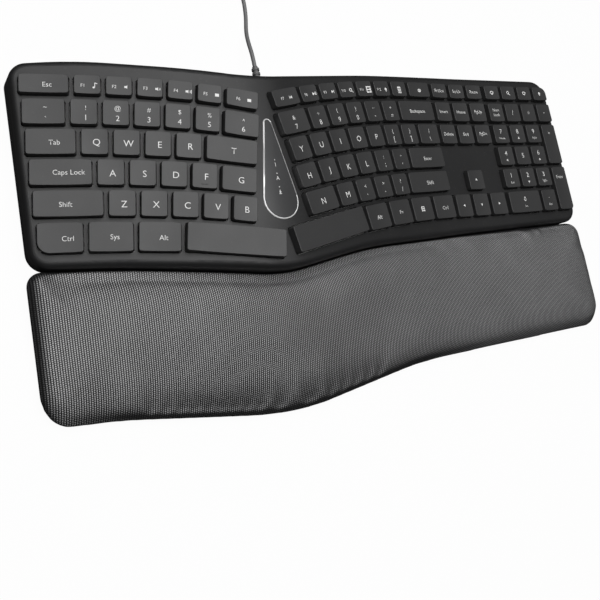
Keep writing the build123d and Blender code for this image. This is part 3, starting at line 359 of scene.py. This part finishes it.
# Legends and homing bars: white print on the caps, each mark flat lettering or a small sign that
# is laid on the dish of its key and lifted just clear of the plastic, and two small moulded bars.
# Sizes and places are in millimetres on the cap.
print_lift = 0.03
weld_gap = 0.001 * MM
level_normal = 0.9
most_degrees, step_degrees = 15.0, 0.25
row_gap = 10.0
lettering_thinning = 0.004
sign_sides = {"disc": 24, "ring": 24, "bar": 4, "triangle": 3}
outer_radius, ring_bore_radius = 0.5, 0.3
triangle_fit = (1.15, 1.33, 1)
ray_start = 2.0


def islands(form):
    """Groups of joined vertices."""
    left = set(form.verts)
    while left:
        first = left.pop()
        group, front = {first}, [first]
        while front:
            for edge in front.pop().link_edges:
                for vertex in edge.verts:
                    if vertex in left:
                        left.discard(vertex)
                        group.add(vertex)
                        front.append(vertex)
        yield group


def cap_place(group):
    """Place of one cap's top: x along its row, y to its back and z out of it.

    Its up is square to the underside, and its turn is the one with the smallest box round it."""
    faces = {face for vertex in group for face in vertex.link_faces}
    undersides = [face for face in faces if face.normal.z < -level_normal]
    up = -min(undersides, key=lambda face: face.calc_center_median().z).normal
    across = Vector((0, 1, 0)).cross(up).normalized()
    best = None
    turns = round(most_degrees / step_degrees)
    for turn in range(-turns, turns + 1):
        x_dir = (Matrix.Rotation(radians(step_degrees * turn), 3, up) @ across).normalized()
        y_dir = up.cross(x_dir)
        xs = [vertex.co.dot(x_dir) for vertex in group]
        ys = [vertex.co.dot(y_dir) for vertex in group]
        area = (max(xs) - min(xs)) * (max(ys) - min(ys))
        if best is None or area < best[0]:
            best = (area, x_dir, y_dir, 0.5 * (min(xs) + max(xs)), 0.5 * (min(ys) + max(ys)))
    _, x_dir, y_dir, x, y = best
    top = max(vertex.co.dot(up) for vertex in group)
    place = Matrix((x_dir, y_dir, up)).transposed().to_4x4()
    place.translation = x_dir * x + y_dir * y + up * top
    return place


def key_tops(name):
    """The place of each cap of a key node, by rows from the back and from left to right, with the
    node's surface."""
    form = bmesh.new()
    form.from_mesh(nodes[name].data)
    bmesh.ops.remove_doubles(form, verts=form.verts, dist=weld_gap)
    form.normal_update()
    places = [cap_place(group) for group in islands(form)]
    surface = BVHTree.FromBMesh(form)
    form.free()
    rows = []
    for place in sorted(places, key=lambda place: -place.translation.y):
        if not rows or rows[-1][0].translation.y - place.translation.y > row_gap * MM:
            rows.append([])
        rows[-1].append(place)
    return [place for row in rows for place in sorted(row, key=lambda place: place.translation.x)], surface


def lettering(text, size):
    """Flat mesh of a word, centred."""
    words = bpy.data.curves.new("lettering", "FONT")
    words.body = text
    words.size = size
    words.align_x = "CENTER"
    words.align_y = "CENTER"
    words.resolution_u = 3
    words.offset = -lettering_thinning * size
    holder = place_object("lettering", words)
    bpy.context.view_layer.update()
    mesh = bpy.data.meshes.new_from_object(holder.evaluated_get(bpy.context.evaluated_depsgraph_get()))
    bpy.data.objects.remove(holder)
    form = bmesh.new()
    form.from_mesh(mesh)
    bpy.data.meshes.remove(mesh)
    xs = [vertex.co.x for vertex in form.verts]
    ys = [vertex.co.y for vertex in form.verts]
    shift = Vector((-0.5 * (min(xs) + max(xs)), -0.5 * (min(ys) + max(ys)), 0))
    bmesh.ops.translate(form, vec=shift, verts=form.verts)
    return form


def circle(form, sides, radius, filled):
    """The vertices of a new circle or polygon, filled or open."""
    return bmesh.ops.create_circle(form, cap_ends=filled, segments=sides, radius=radius)["verts"]


def sign(parts, growth=1.0):
    """Flat mesh of a small sign. A part is its kind, middle x and y, width, height and turn."""
    form = bmesh.new()
    for kind, x, y, width, height, turn in parts:
        sides = sign_sides[kind]
        verts = circle(form, sides, outer_radius, kind != "ring")
        if kind == "ring":
            verts += circle(form, sides, ring_bore_radius, False)
            bmesh.ops.bridge_loops(form, edges=list({edge for vertex in verts for edge in vertex.link_edges}))
        if kind == "bar":
            bmesh.ops.rotate(form, verts=verts, cent=(0, 0, 0), matrix=Matrix.Rotation(pi / 4, 3, "Z"))
            bmesh.ops.scale(form, verts=verts, vec=(2 ** 0.5, 2 ** 0.5, 1))
        if kind == "triangle":
            bmesh.ops.scale(form, verts=verts, vec=triangle_fit)
        bmesh.ops.scale(form, verts=verts, vec=(width, height, 1))
        bmesh.ops.rotate(form, verts=verts, cent=(0, 0, 0), matrix=Matrix.Rotation(radians(turn), 3, "Z"))
        bmesh.ops.translate(form, verts=verts, vec=(x, y, 0))
    bmesh.ops.scale(form, verts=form.verts, vec=(growth, growth, 1))
    return form


up_sign = [("triangle", 0, 0, 2.2, 1.9, 0)]
down_sign = [("triangle", 0, 0, 2.2, 1.9, 180)]
left_sign = [("triangle", 0, 0, 2.2, 1.9, 90)]
right_sign = [("triangle", 0, 0, 2.2, 1.9, -90)]
note_sign = [("disc", -0.6, -0.9, 1.1, 0.9, 0), ("bar", -0.15, 0.1, 0.3, 2.2, 0)]
note_sign += [("bar", 0.4, 1.1, 1.3, 0.4, -15)]
quiet_sign = [("bar", -0.7, 0, 0.7, 1.0, 0), ("triangle", -0.1, 0, 1.8, 1.1, 90)]
louder_sign = quiet_sign + [("bar", 1.1, 0, 0.3, 1.2, 0)]
loudest_sign = louder_sign + [("bar", 1.7, 0, 0.3, 1.9, 0)]
back_sign = [("triangle", 0.3, 0, 1.6, 1.5, 90), ("bar", -0.8, 0, 0.3, 1.7, 0)]
play_sign = [("triangle", -0.4, 0, 1.7, 1.6, -90), ("bar", 0.9, 0, 0.3, 1.7, 0), ("bar", 1.5, 0, 0.3, 1.7, 0)]
next_sign = [("triangle", -0.3, 0, 1.6, 1.5, -90), ("bar", 0.8, 0, 0.3, 1.7, 0)]
page_sign = [("bar", 0, 0, 1.9, 1.5, 0)]
lamp_sign = [("disc", 0, 0.2, 1.6, 1.6, 0), ("bar", 0, -0.9, 0.8, 0.5, 0)]
glass_sign = [("ring", -0.2, 0.2, 2.0, 2.0, 0), ("bar", 0.9, -0.9, 0.4, 1.3, 45)]
menu_sign = [("bar", 0, 1.5 * row, 3.6, 0.75, 0) for row in (-1, 0, 1)]
menu_sign += [("bar", 1.45 * side, 0, 0.6, 3.7, 0) for side in (-1, 1)]
grid_sign = [("bar", 0, 1.9, 3.4, 1.3, 0)]
grid_sign += [("bar", 1.2 * column, 0.35 - 1.3 * row, 0.95, 0.95, 0)
              for column in (-1, 0, 1) for row in (0, 1, 2)]
eye_sign = [("ring", 0, 0, 3.4, 2.8, 0), ("disc", 0, 0, 1.3, 1.3, 0)]
loop_sign = [("ring", 0, 0, 2.3, 2.3, 0), ("triangle", 1.1, 0.3, 1.0, 0.9, 180)]
cup_sign = [("ring", 0, 0, 2.8, 1.9, 0), ("bar", 0, -1.0, 1.4, 0.5, 0)]

word_size = 4.4
letter_size = 5.9
short_size = 3.9
shifted_size, plain_size = 4.1, 5.1
shifted_y, plain_y = 3.2, -3.0
function_size, function_sign_growth = 3.0, 1.35
function_word_x, function_sign_x = -3.9, 3.6
media_growth = 1.45
digit_size, digit_y = 5.6, 2.2
hint_size, hint_y = 2.5, -3.8
lock_size, lock_y = 3.6, 2.1
tall_key_print_y = 10.0


def word(text, x=1.0, size=word_size, y=0):
    """A word, as a rule a little to the right of its key's middle."""
    return [(lettering, (text, size), x, y)]


def letter(text):
    """A letter or a sign of that size in the middle of its key."""
    return word(text, 0, letter_size)


def picture(shape, growth=1.0):
    """A sign in the middle of its key."""
    return [(sign, (shape, growth), 0, 0)]


def pair(shifted, plain):
    """A shifted sign over a digit or sign."""
    return [(lettering, (shifted, shifted_size), 0, shifted_y), (lettering, (plain, plain_size), 0, plain_y)]


def key_column(number, shape, shifted, plain, letters):
    """A function key with its number and sign, a digit key and the letter keys in front of it."""
    function_word = (lettering, (f"F{number}", function_size), function_word_x, 0)
    function_sign = (sign, (shape, function_sign_growth), function_sign_x, 0)
    return [[function_word, function_sign], pair(shifted, plain), *[letter(text) for text in letters]]


def pad_digit(digit, hint):
    """A digit with its second use under it, as a word or an arrow."""
    lower = (lettering, (hint, hint_size)) if isinstance(hint, str) else (sign, (hint,))
    return [(lettering, (digit, digit_size), 0, digit_y), (*lower, 0, hint_y)]


# The keys of each node from the back row to the front, and for each key its marks: what makes the
# mark, from which details, and its place from the middle of the cap
legends = {
    "escape_key": [word("Esc")],
    "grave_key": [pair("~", "`")],
    "tab_key": [word("Tab")],
    "caps_lock_key": [word("Caps Lock", 3.6)],
    "left_shift_key": [word("Shift", -2.6)],
    "left_control_key": [word("Ctrl", 3.2)],
    "left_system_key": [word("Sys")],
    "left_alt_key": [word("Alt")],
    "left_column_1_keys": key_column(1, note_sign, "!", "1", "QAZ"),
    "left_column_2_keys": key_column(2, quiet_sign, "@", "2", "WSX"),
    "left_column_3_keys": key_column(3, louder_sign, "#", "3", "EDC"),
    "left_column_4_keys": key_column(4, loudest_sign, "$", "4", "RFV"),
    "left_column_5_keys": key_column(5, page_sign, "%", "5", "TGB"),
    "left_column_6_keys": key_column(6, page_sign, "^", "6", ""),
    "right_column_1_keys": key_column(7, back_sign, "&", "7", "YHN"),
    "right_column_2_keys": key_column(8, play_sign, "*", "8", "UJ"),
    "right_column_3_keys": key_column(9, next_sign, "(", "9", "IKM"),
    "right_column_4_keys": [*key_column(10, glass_sign, ")", "0", "OL"), pair("<", ",")],
    "right_column_5_keys": [*key_column(11, menu_sign, "_", "-", "P"), pair(":", ";"), pair(">", ".")],
    "right_column_6_keys": [*key_column(12, lamp_sign, "+", "=", ""), pair("{", "["), pair('"', "'"),
                            pair("?", "/")],
    "right_column_7_keys": [picture(grid_sign), picture(eye_sign), pair("}", "]"), pair("|", "\\")],
    "backspace_key": [word("Backspace", 0, 4.1)],
    "enter_key": [word("Enter", 0, 4.0)],
    "right_shift_key": [word("Shift", 0, 4.3)],
    "right_control_key": [word("Ctrl", 0, short_size)],
    "menu_key": [picture(menu_sign)],
    "function_key": [word("Fn", 0, short_size)],
    "right_alt_key": [word("Alt", 0, 4.3)],
    "navigation_keys": [word(text, 0, short_size) for text in (
        "PrtScn", "ScrLk", "Pause", "Insert", "Home", "PgUp", "Delete", "End", "PgDn")],
    "arrow_keys": [picture(shape) for shape in (up_sign, left_sign, down_sign, right_sign)],
    "media_keys": [picture(shape, media_growth) for shape in (cup_sign, glass_sign, loop_sign, lamp_sign)],
    "number_pad_keys": [
        word("Num", 0, lock_size, lock_y) + word("Lock", 0, lock_size, -lock_y),
        letter("/"), letter("*"), letter("-"),
        pad_digit("7", "Home"), pad_digit("8", up_sign), pad_digit("9", "PgUp"),
        pad_digit("4", left_sign), letter("5"), pad_digit("6", right_sign),
        pad_digit("1", "End"), pad_digit("2", down_sign), pad_digit("3", "PgDn")],
    "number_pad_plus_key": [word("+", 0, word_size, tall_key_print_y)],
    "number_pad_zero_keys": [pad_digit("0", "Ins"), pad_digit(".", "Del")],
    "number_pad_enter_key": [word("Enter", 0, short_size, tall_key_print_y)],
}
# The print of the two curved halves stands a little off the middle of its caps
left_half = ("left_", "escape_", "grave_", "tab_", "caps_lock_")
right_half = ("right_", "backspace_", "enter_")
left_half_shift, right_half_shift = (1.1, -0.7), (0.5, -0.8)
legend_ink = plastic("legend_ink", (0.86, 0.86, 0.85), 0.5, grain=0.2, cloud=0.05, dust=0.0)
# The key of a column that has a small raised bar for the index finger
homing_keys = {"left_column_4_keys": 3, "right_column_2_keys": 3}
homing_size = (4.2, 0.8, 0.5)
homing_round = 0.18
homing_setback, homing_sink = 5.4, 0.25


def lay_on_surface(form, place, surface, lift):
    """Move a flat form from its own plane onto the surface below it."""
    up = place.to_3x3() @ Vector((0, 0, 1))
    for vertex in form.verts:
        above = place @ (MM * vertex.co) + up * ray_start * MM
        hit = surface.ray_cast(above, -up)[0]
        vertex.co = hit + up * lift * MM


def add_form(whole, form):
    """Add one form to another."""
    flat = bpy.data.meshes.new("flat")
    form.to_mesh(flat)
    form.free()
    whole.from_mesh(flat)
    bpy.data.meshes.remove(flat)


def new_piece(name, form, material, body):
    """A finished piece from a form, riding on its body."""
    mesh = bpy.data.meshes.new(name)
    form.to_mesh(mesh)
    form.free()
    mesh.materials.append(material)
    piece = place_object(name, mesh)
    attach(piece, body)
    return piece


for name, key_legends in legends.items():
    places, surface = key_tops(name)
    shift_x, shift_y = 0, 0
    if name.startswith(left_half):
        shift_x, shift_y = left_half_shift
    elif name.startswith(right_half):
        shift_x, shift_y = right_half_shift
    printed = bmesh.new()
    for place, parts in zip(places, key_legends, strict=True):
        for make, details, x, y in parts:
            form = make(*details)
            bmesh.ops.translate(form, vec=(x + shift_x, y + shift_y, 0), verts=form.verts)
            lay_on_surface(form, place, surface, print_lift)
            add_form(printed, form)
    legend_name = name.replace("_keys", "").replace("_key", "") + "_legend"
    new_piece(legend_name, printed, legend_ink, name)
    if name in homing_keys:
        bar = bmesh.new()
        bmesh.ops.create_cube(bar, size=1.0)
        bmesh.ops.scale(bar, vec=homing_size, verts=bar.verts)
        bmesh.ops.bevel(bar, geom=bar.edges[:], offset=homing_round, segments=3, affect="EDGES", profile=0.5,
                        material=-1)
        bmesh.ops.translate(bar, vec=(0, -homing_setback, -homing_sink), verts=bar.verts)
        bmesh.ops.transform(bar, matrix=places[homing_keys[name]] @ Matrix.Scale(MM, 4), verts=bar.verts)
        new_piece(name.replace("_keys", "") + "_homing_bar", bar, key_plastic, name)

# Indicator window: a smoked panel with a column of small lamps and printed marks, set in a pale
# moulded ring whose top slopes down to the deck on its outer side.
panel_plastic = plastic("panel_plastic", (0.038, 0.0385, 0.040), 0.34, grain=0.15, cloud=0.2)
ring_chrome = plastic("ring_chrome", (0.88, 0.88, 0.88), 0.34, grain=0.1, cloud=0.02, dust=0.0, metallic=0.4)
finish_node("indicator_panel", panel_plastic)
ring_fall = 0.5
panel_form = bmesh.new()
panel_form.from_mesh(nodes["indicator_panel"].data)
panel_surface = BVHTree.FromBMesh(panel_form)
panel_form.free()
trim = bmesh.new()
trim.from_mesh(nodes["indicator_ring"].data)
bmesh.ops.remove_doubles(trim, verts=trim.verts, dist=weld_gap)
trim.normal_update()
outer_lip = [vertex for vertex in trim.verts if panel_surface.find_nearest(vertex.co)[3] > ring_fall * MM
             and any(face.normal.z > level_normal for face in vertex.link_faces)]
bmesh.ops.translate(trim, vec=(0, 0, -ring_fall * MM), verts=outer_lip)
ring_trim = new_piece("indicator_trim", trim, ring_chrome, "case")
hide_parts("indicator_ring")

mark_x = -74.8
mark_drop = 3.2
mark_size = 3.9
lamp_dot = [("disc", 0, 0, 0.7, 0.7, 0)]
arrow_mark = [("bar", 0, 0.55, 0.5, 1.3, 0), ("triangle", 0, -0.4, 1.9, 1.2, 180)]
arrow_mark += [("bar", 0, -1.45, 2.0, 0.4, 0)]
mark_rows = [
    (39.6, lettering, ("1", mark_size)),
    (30.4, lettering, ("A", mark_size)),
    (21.2, sign, (arrow_mark,)),
]
panel_top = Matrix.Translation((0, 0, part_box("indicator_panel")[1].z))
marks = bmesh.new()
for y, make, details in mark_rows:
    for form, drop in ((sign(lamp_dot), 0.0), (make(*details), mark_drop)):
        bmesh.ops.translate(form, vec=(mark_x, y - drop, 0), verts=form.verts)
        lay_on_surface(form, panel_top, panel_surface, print_lift)
        add_form(marks, form)
new_piece("indicator_marks", marks, legend_ink, "case")


# Palm rest: a knitted mesh fabric glued over a shaped foam pad, turned down round its edge onto
# the moulded base. Its columns of stitches run from front to back, straight over the whole pad.
def clamp(value):
    """A value held between 0 and 1."""
    return max(0.0, min(1.0, value))


def apply_modifiers(piece):
    """Make the result of a piece's modifiers its own mesh."""
    bpy.context.view_layer.update()
    made = bpy.data.meshes.new_from_object(piece.evaluated_get(bpy.context.evaluated_depsgraph_get()))
    piece.modifiers.clear()
    piece.data = made
    return made


voxel = 1.3
remesh_smoothing, settle_smoothing = 6, 12
soft = bmesh.new()
for name in ("palm_rest_cover", "palm_rest_pad"):
    soft.from_mesh(nodes[name].data)
bmesh.ops.remove_doubles(soft, verts=soft.verts, dist=weld_gap)
cushion_mesh = bpy.data.meshes.new("palm_rest_cushion")
soft.to_mesh(cushion_mesh)
soft.free()
cushion = place_object("palm_rest_cushion", cushion_mesh)
remesh = cushion.modifiers.new("remesh", "REMESH")
remesh.mode = "VOXEL"
remesh.voxel_size = voxel * MM
remesh.use_smooth_shade = True
smooth = cushion.modifiers.new("smooth", "SMOOTH")
smooth.factor = 0.5
smooth.iterations = remesh_smoothing
cushion_mesh = apply_modifiers(cushion)

# It is plump along its middle and falls away to its edges, in a wide roll along the front and a
# narrow one elsewhere, and its front left side bulges a little over the base
narrow_roll, wide_roll = 12.0, 26.0
narrow_fall, wide_fall = 2.5, 6.2
fall_power = 2.5
plump, plump_reach = 2.5, 45.0
front_bulge, bulge_reach = 2.8, 40.0
bulge_end_x, bulge_fade = 30.0, 80.0
full_lift_height = 8.0
rim_slope, rim_height = 0.5, 1.5
rim_sample = 40
cushion_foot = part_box("palm_rest_cover")[0].z / MM
# Points of the rim, each with how far it faces the front
rim = [(vertex.co.copy(), max(0.0, -vertex.normal.y)) for vertex in cushion_mesh.vertices
       if abs(vertex.normal.z) < rim_slope and vertex.co.z / MM > cushion_foot + rim_height]
rim_tree = KDTree(len(rim))
for index, (place, _) in enumerate(rim):
    rim_tree.insert((place.x, place.y, 0), index)
rim_tree.balance()
for vertex in cushion_mesh.vertices:
    x, y, z = [value / MM for value in vertex.co]
    nearest = rim_tree.find_n((vertex.co.x, vertex.co.y, 0), rim_sample)
    inset = nearest[0][2] / MM
    front = sum(rim[index][1] for _, index, _ in nearest) / len(nearest)
    roll = narrow_roll + (wide_roll - narrow_roll) * front
    fall = (narrow_fall + (wide_fall - narrow_fall) * front) * (1 - clamp(inset / roll)) ** fall_power
    rise = plump * (1 - (1 - clamp(inset / plump_reach)) ** 2)
    z += (rise - fall) * clamp((z - cushion_foot) / full_lift_height)
    y -= front_bulge * clamp((bulge_end_x - x) / bulge_fade) * front * clamp(1 - inset / bulge_reach) ** 2
    vertex.co = Vector((x, y, z)) * MM
settle = cushion.modifiers.new("settle", "SMOOTH")
settle.factor = 0.5
settle.iterations = settle_smoothing
cushion_mesh = apply_modifiers(cushion)

column_step, course_step = 1.39 * MM, 1.2 * MM
yarn_size, worn_size = 0.6 * MM, 30.0 * MM
yarn_swing, worn_swing = 0.25, 0.15
open_weave = (0.006, 0.006, 0.0065, 1.0)
pale_loop = (0.45, 0.45, 0.455, 1.0)
open_stop, loop_stop = (0.20, open_weave), (0.55, pale_loop)
column_share, stitch_share = 0.6, 0.4
# Painted side light: how far the fabric's colour is brightened where it faces left and darkened where it
# faces right
painted_light_slope, painted_left_light, painted_right_shade = 0.27, 1.35, 0.65
# Painted shade: between these facings the fabric's colour darkens towards its rolled edge
edge_facing, top_facing, edge_shade_level = 0.66, 0.93, 0.07
knot_strength, knot_depth = 0.7, 0.3 * MM


def wave(tree, place, period):
    """A cosine from -1 to 1 with a period in metres."""
    return scalar(tree, "COSINE", scalar(tree, "MULTIPLY", place, 2 * pi / period), 0.0)


def ranged(tree, value, start, end, to_start, to_end):
    """A value moved from one range to another and held there."""
    step = tree.nodes.new("ShaderNodeMapRange")
    tree.links.new(value, step.inputs["Value"])
    step.inputs["From Min"].default_value = start
    step.inputs["From Max"].default_value = end
    step.inputs["To Min"].default_value = to_start
    step.inputs["To Max"].default_value = to_end
    return step.outputs["Result"]


def knitted_fabric(name):
    """Pale loops over a dark open weave, in columns that lie half a stitch along from each other."""
    material = bpy.data.materials.new(name)
    tree, shader = node_tree(material)
    cloth = tree.nodes.new("ShaderNodeTexCoord")
    place, facing = tree.nodes.new("ShaderNodeSeparateXYZ"), tree.nodes.new("ShaderNodeSeparateXYZ")
    tree.links.new(cloth.outputs["Object"], place.inputs[0])
    tree.links.new(cloth.outputs["Normal"], facing.inputs[0])
    across, along = place.outputs["X"], place.outputs["Y"]
    column = scalar(tree, "ADD", 0.5, scalar(tree, "MULTIPLY", wave(tree, across, column_step), 0.5))
    stagger = scalar(tree, "MULTIPLY", wave(tree, across, 2 * column_step), wave(tree, along, course_step))
    stitch = scalar(tree, "ADD", column_share, scalar(tree, "MULTIPLY", stagger, stitch_share))
    knots = scalar(tree, "MULTIPLY", column, stitch)
    yarn = noise(tree, cloth.outputs["Object"], yarn_size)
    worn = noise(tree, cloth.outputs["Object"], worn_size)
    uneven = scalar(tree, "ADD", knots, swing(tree, yarn, yarn_swing))
    uneven = scalar(tree, "ADD", uneven, swing(tree, worn, worn_swing))
    ramp = tree.nodes.new("ShaderNodeValToRGB")
    for stop, (position, colour) in zip(ramp.color_ramp.elements, (open_stop, loop_stop)):
        stop.position = position
        stop.color = colour
    tree.links.new(uneven, ramp.inputs["Fac"])
    # Painted side light: the fabric's colour is brightened on slopes that face left and darkened on slopes
    # that face right, as if lit from the left
    painted_side_light = ranged(tree, facing.outputs["X"], -painted_light_slope, painted_light_slope, painted_left_light, painted_right_shade)
    yarn_with_painted_side_light = brightened(tree, ramp.outputs["Color"], painted_side_light)
    # Painted shade: where the fabric turns down round the edge, its colour is darkened towards the dark open
    # weave, as if the rolled edge were turned from the light
    painted_edge_shade = ranged(tree, facing.outputs["Z"], edge_facing, top_facing, edge_shade_level, 1.0)
    tree.links.new(mixed_colour(tree, painted_edge_shade, open_weave, yarn_with_painted_side_light), shader.inputs["Base Color"])
    shader.inputs["Roughness"].default_value = 0.55
    add_bump(tree, shader, knots, knot_strength, knot_depth)
    return material


cushion_mesh.materials.clear()
cushion_mesh.materials.append(knitted_fabric("palm_fabric"))
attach(cushion, "case")
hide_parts("palm_rest_cover", "palm_rest_pad")

# Stage: a pale floor under plain soft light, from one square lamp over the rear of the keyboard
# and a sky that is brightest straight up. The camera sees floor and sky pale, while the floor
# throws little light back onto the object.
floor_reach = 3.0
floor_grey, floor_white = (0.07, 0.07, 0.07, 1.0), (0.86, 0.86, 0.86, 1.0)
floor_glow = 0.96
lamp_side, lamp_power = 1.0, 9.0
lamp_place, lamp_aim = Vector((-0.10, 0.26, 1.0)), Vector((-0.10, 0.22, 0.0))
sky_low, sky_high, sky_power = 0.03, 0.6, 3.0
floor_form = bmesh.new()
bmesh.ops.create_grid(floor_form, x_segments=1, y_segments=1, size=floor_reach)
floor_mesh = bpy.data.meshes.new("floor")
floor_form.to_mesh(floor_mesh)
floor_form.free()
floor = place_object("floor", floor_mesh)
floor_paint = bpy.data.materials.new("floor_paint")
floor_mesh.materials.append(floor_paint)
tree, shader = node_tree(floor_paint)
shader.inputs["Roughness"].default_value = 0.9
shader.inputs["Specular IOR Level"].default_value = 0.1
to_camera = tree.nodes.new("ShaderNodeLightPath").outputs["Is Camera Ray"]
tree.links.new(mixed_colour(tree, to_camera, floor_grey, floor_white), shader.inputs["Base Color"])
blend = tree.nodes.new("ShaderNodeMixShader")
tree.links.new(scalar(tree, "MULTIPLY", to_camera, floor_glow), blend.inputs["Fac"])
tree.links.new(shader.outputs["BSDF"], blend.inputs[1])
tree.links.new(tree.nodes.new("ShaderNodeEmission").outputs["Emission"], blend.inputs[2])
output = next(node for node in tree.nodes if node.type == "OUTPUT_MATERIAL")
tree.links.new(blend.outputs["Shader"], output.inputs["Surface"])

lamp_data = bpy.data.lights.new("overhead_lamp", "AREA")
lamp_data.shape = "RECTANGLE"
lamp_data.size = lamp_data.size_y = lamp_side
lamp_data.energy = lamp_power
lamp = place_object("overhead_lamp", lamp_data)
lamp.location = lamp_place
lamp.rotation_euler = (lamp_aim - lamp_place).to_track_quat("-Z", "Y").to_euler()

world = bpy.data.worlds.new("studio")
bpy.context.scene.world = world
world.use_nodes = True
sky = world.node_tree
sky.nodes.clear()
ambient, seen = sky.nodes.new("ShaderNodeBackground"), sky.nodes.new("ShaderNodeBackground")
height = sky.nodes.new("ShaderNodeSeparateXYZ")
sky.links.new(sky.nodes.new("ShaderNodeTexCoord").outputs["Generated"], height.inputs[0])
dome = scalar(sky, "POWER", scalar(sky, "MAXIMUM", height.outputs["Z"], 0.0), sky_power)
brightness = scalar(sky, "ADD", sky_low, scalar(sky, "MULTIPLY", dome, sky_high))
sky.links.new(brightness, ambient.inputs["Strength"])
seen.inputs["Strength"].default_value = 1.0
choice = sky.nodes.new("ShaderNodeMixShader")
sky.links.new(sky.nodes.new("ShaderNodeLightPath").outputs["Is Camera Ray"], choice.inputs["Fac"])
sky.links.new(ambient.outputs["Background"], choice.inputs[1])
sky.links.new(seen.outputs["Background"], choice.inputs[2])
sky.links.new(choice.outputs["Shader"], sky.nodes.new("ShaderNodeOutputWorld").inputs["Surface"])
bpy.context.scene.view_settings.view_transform = "Standard"
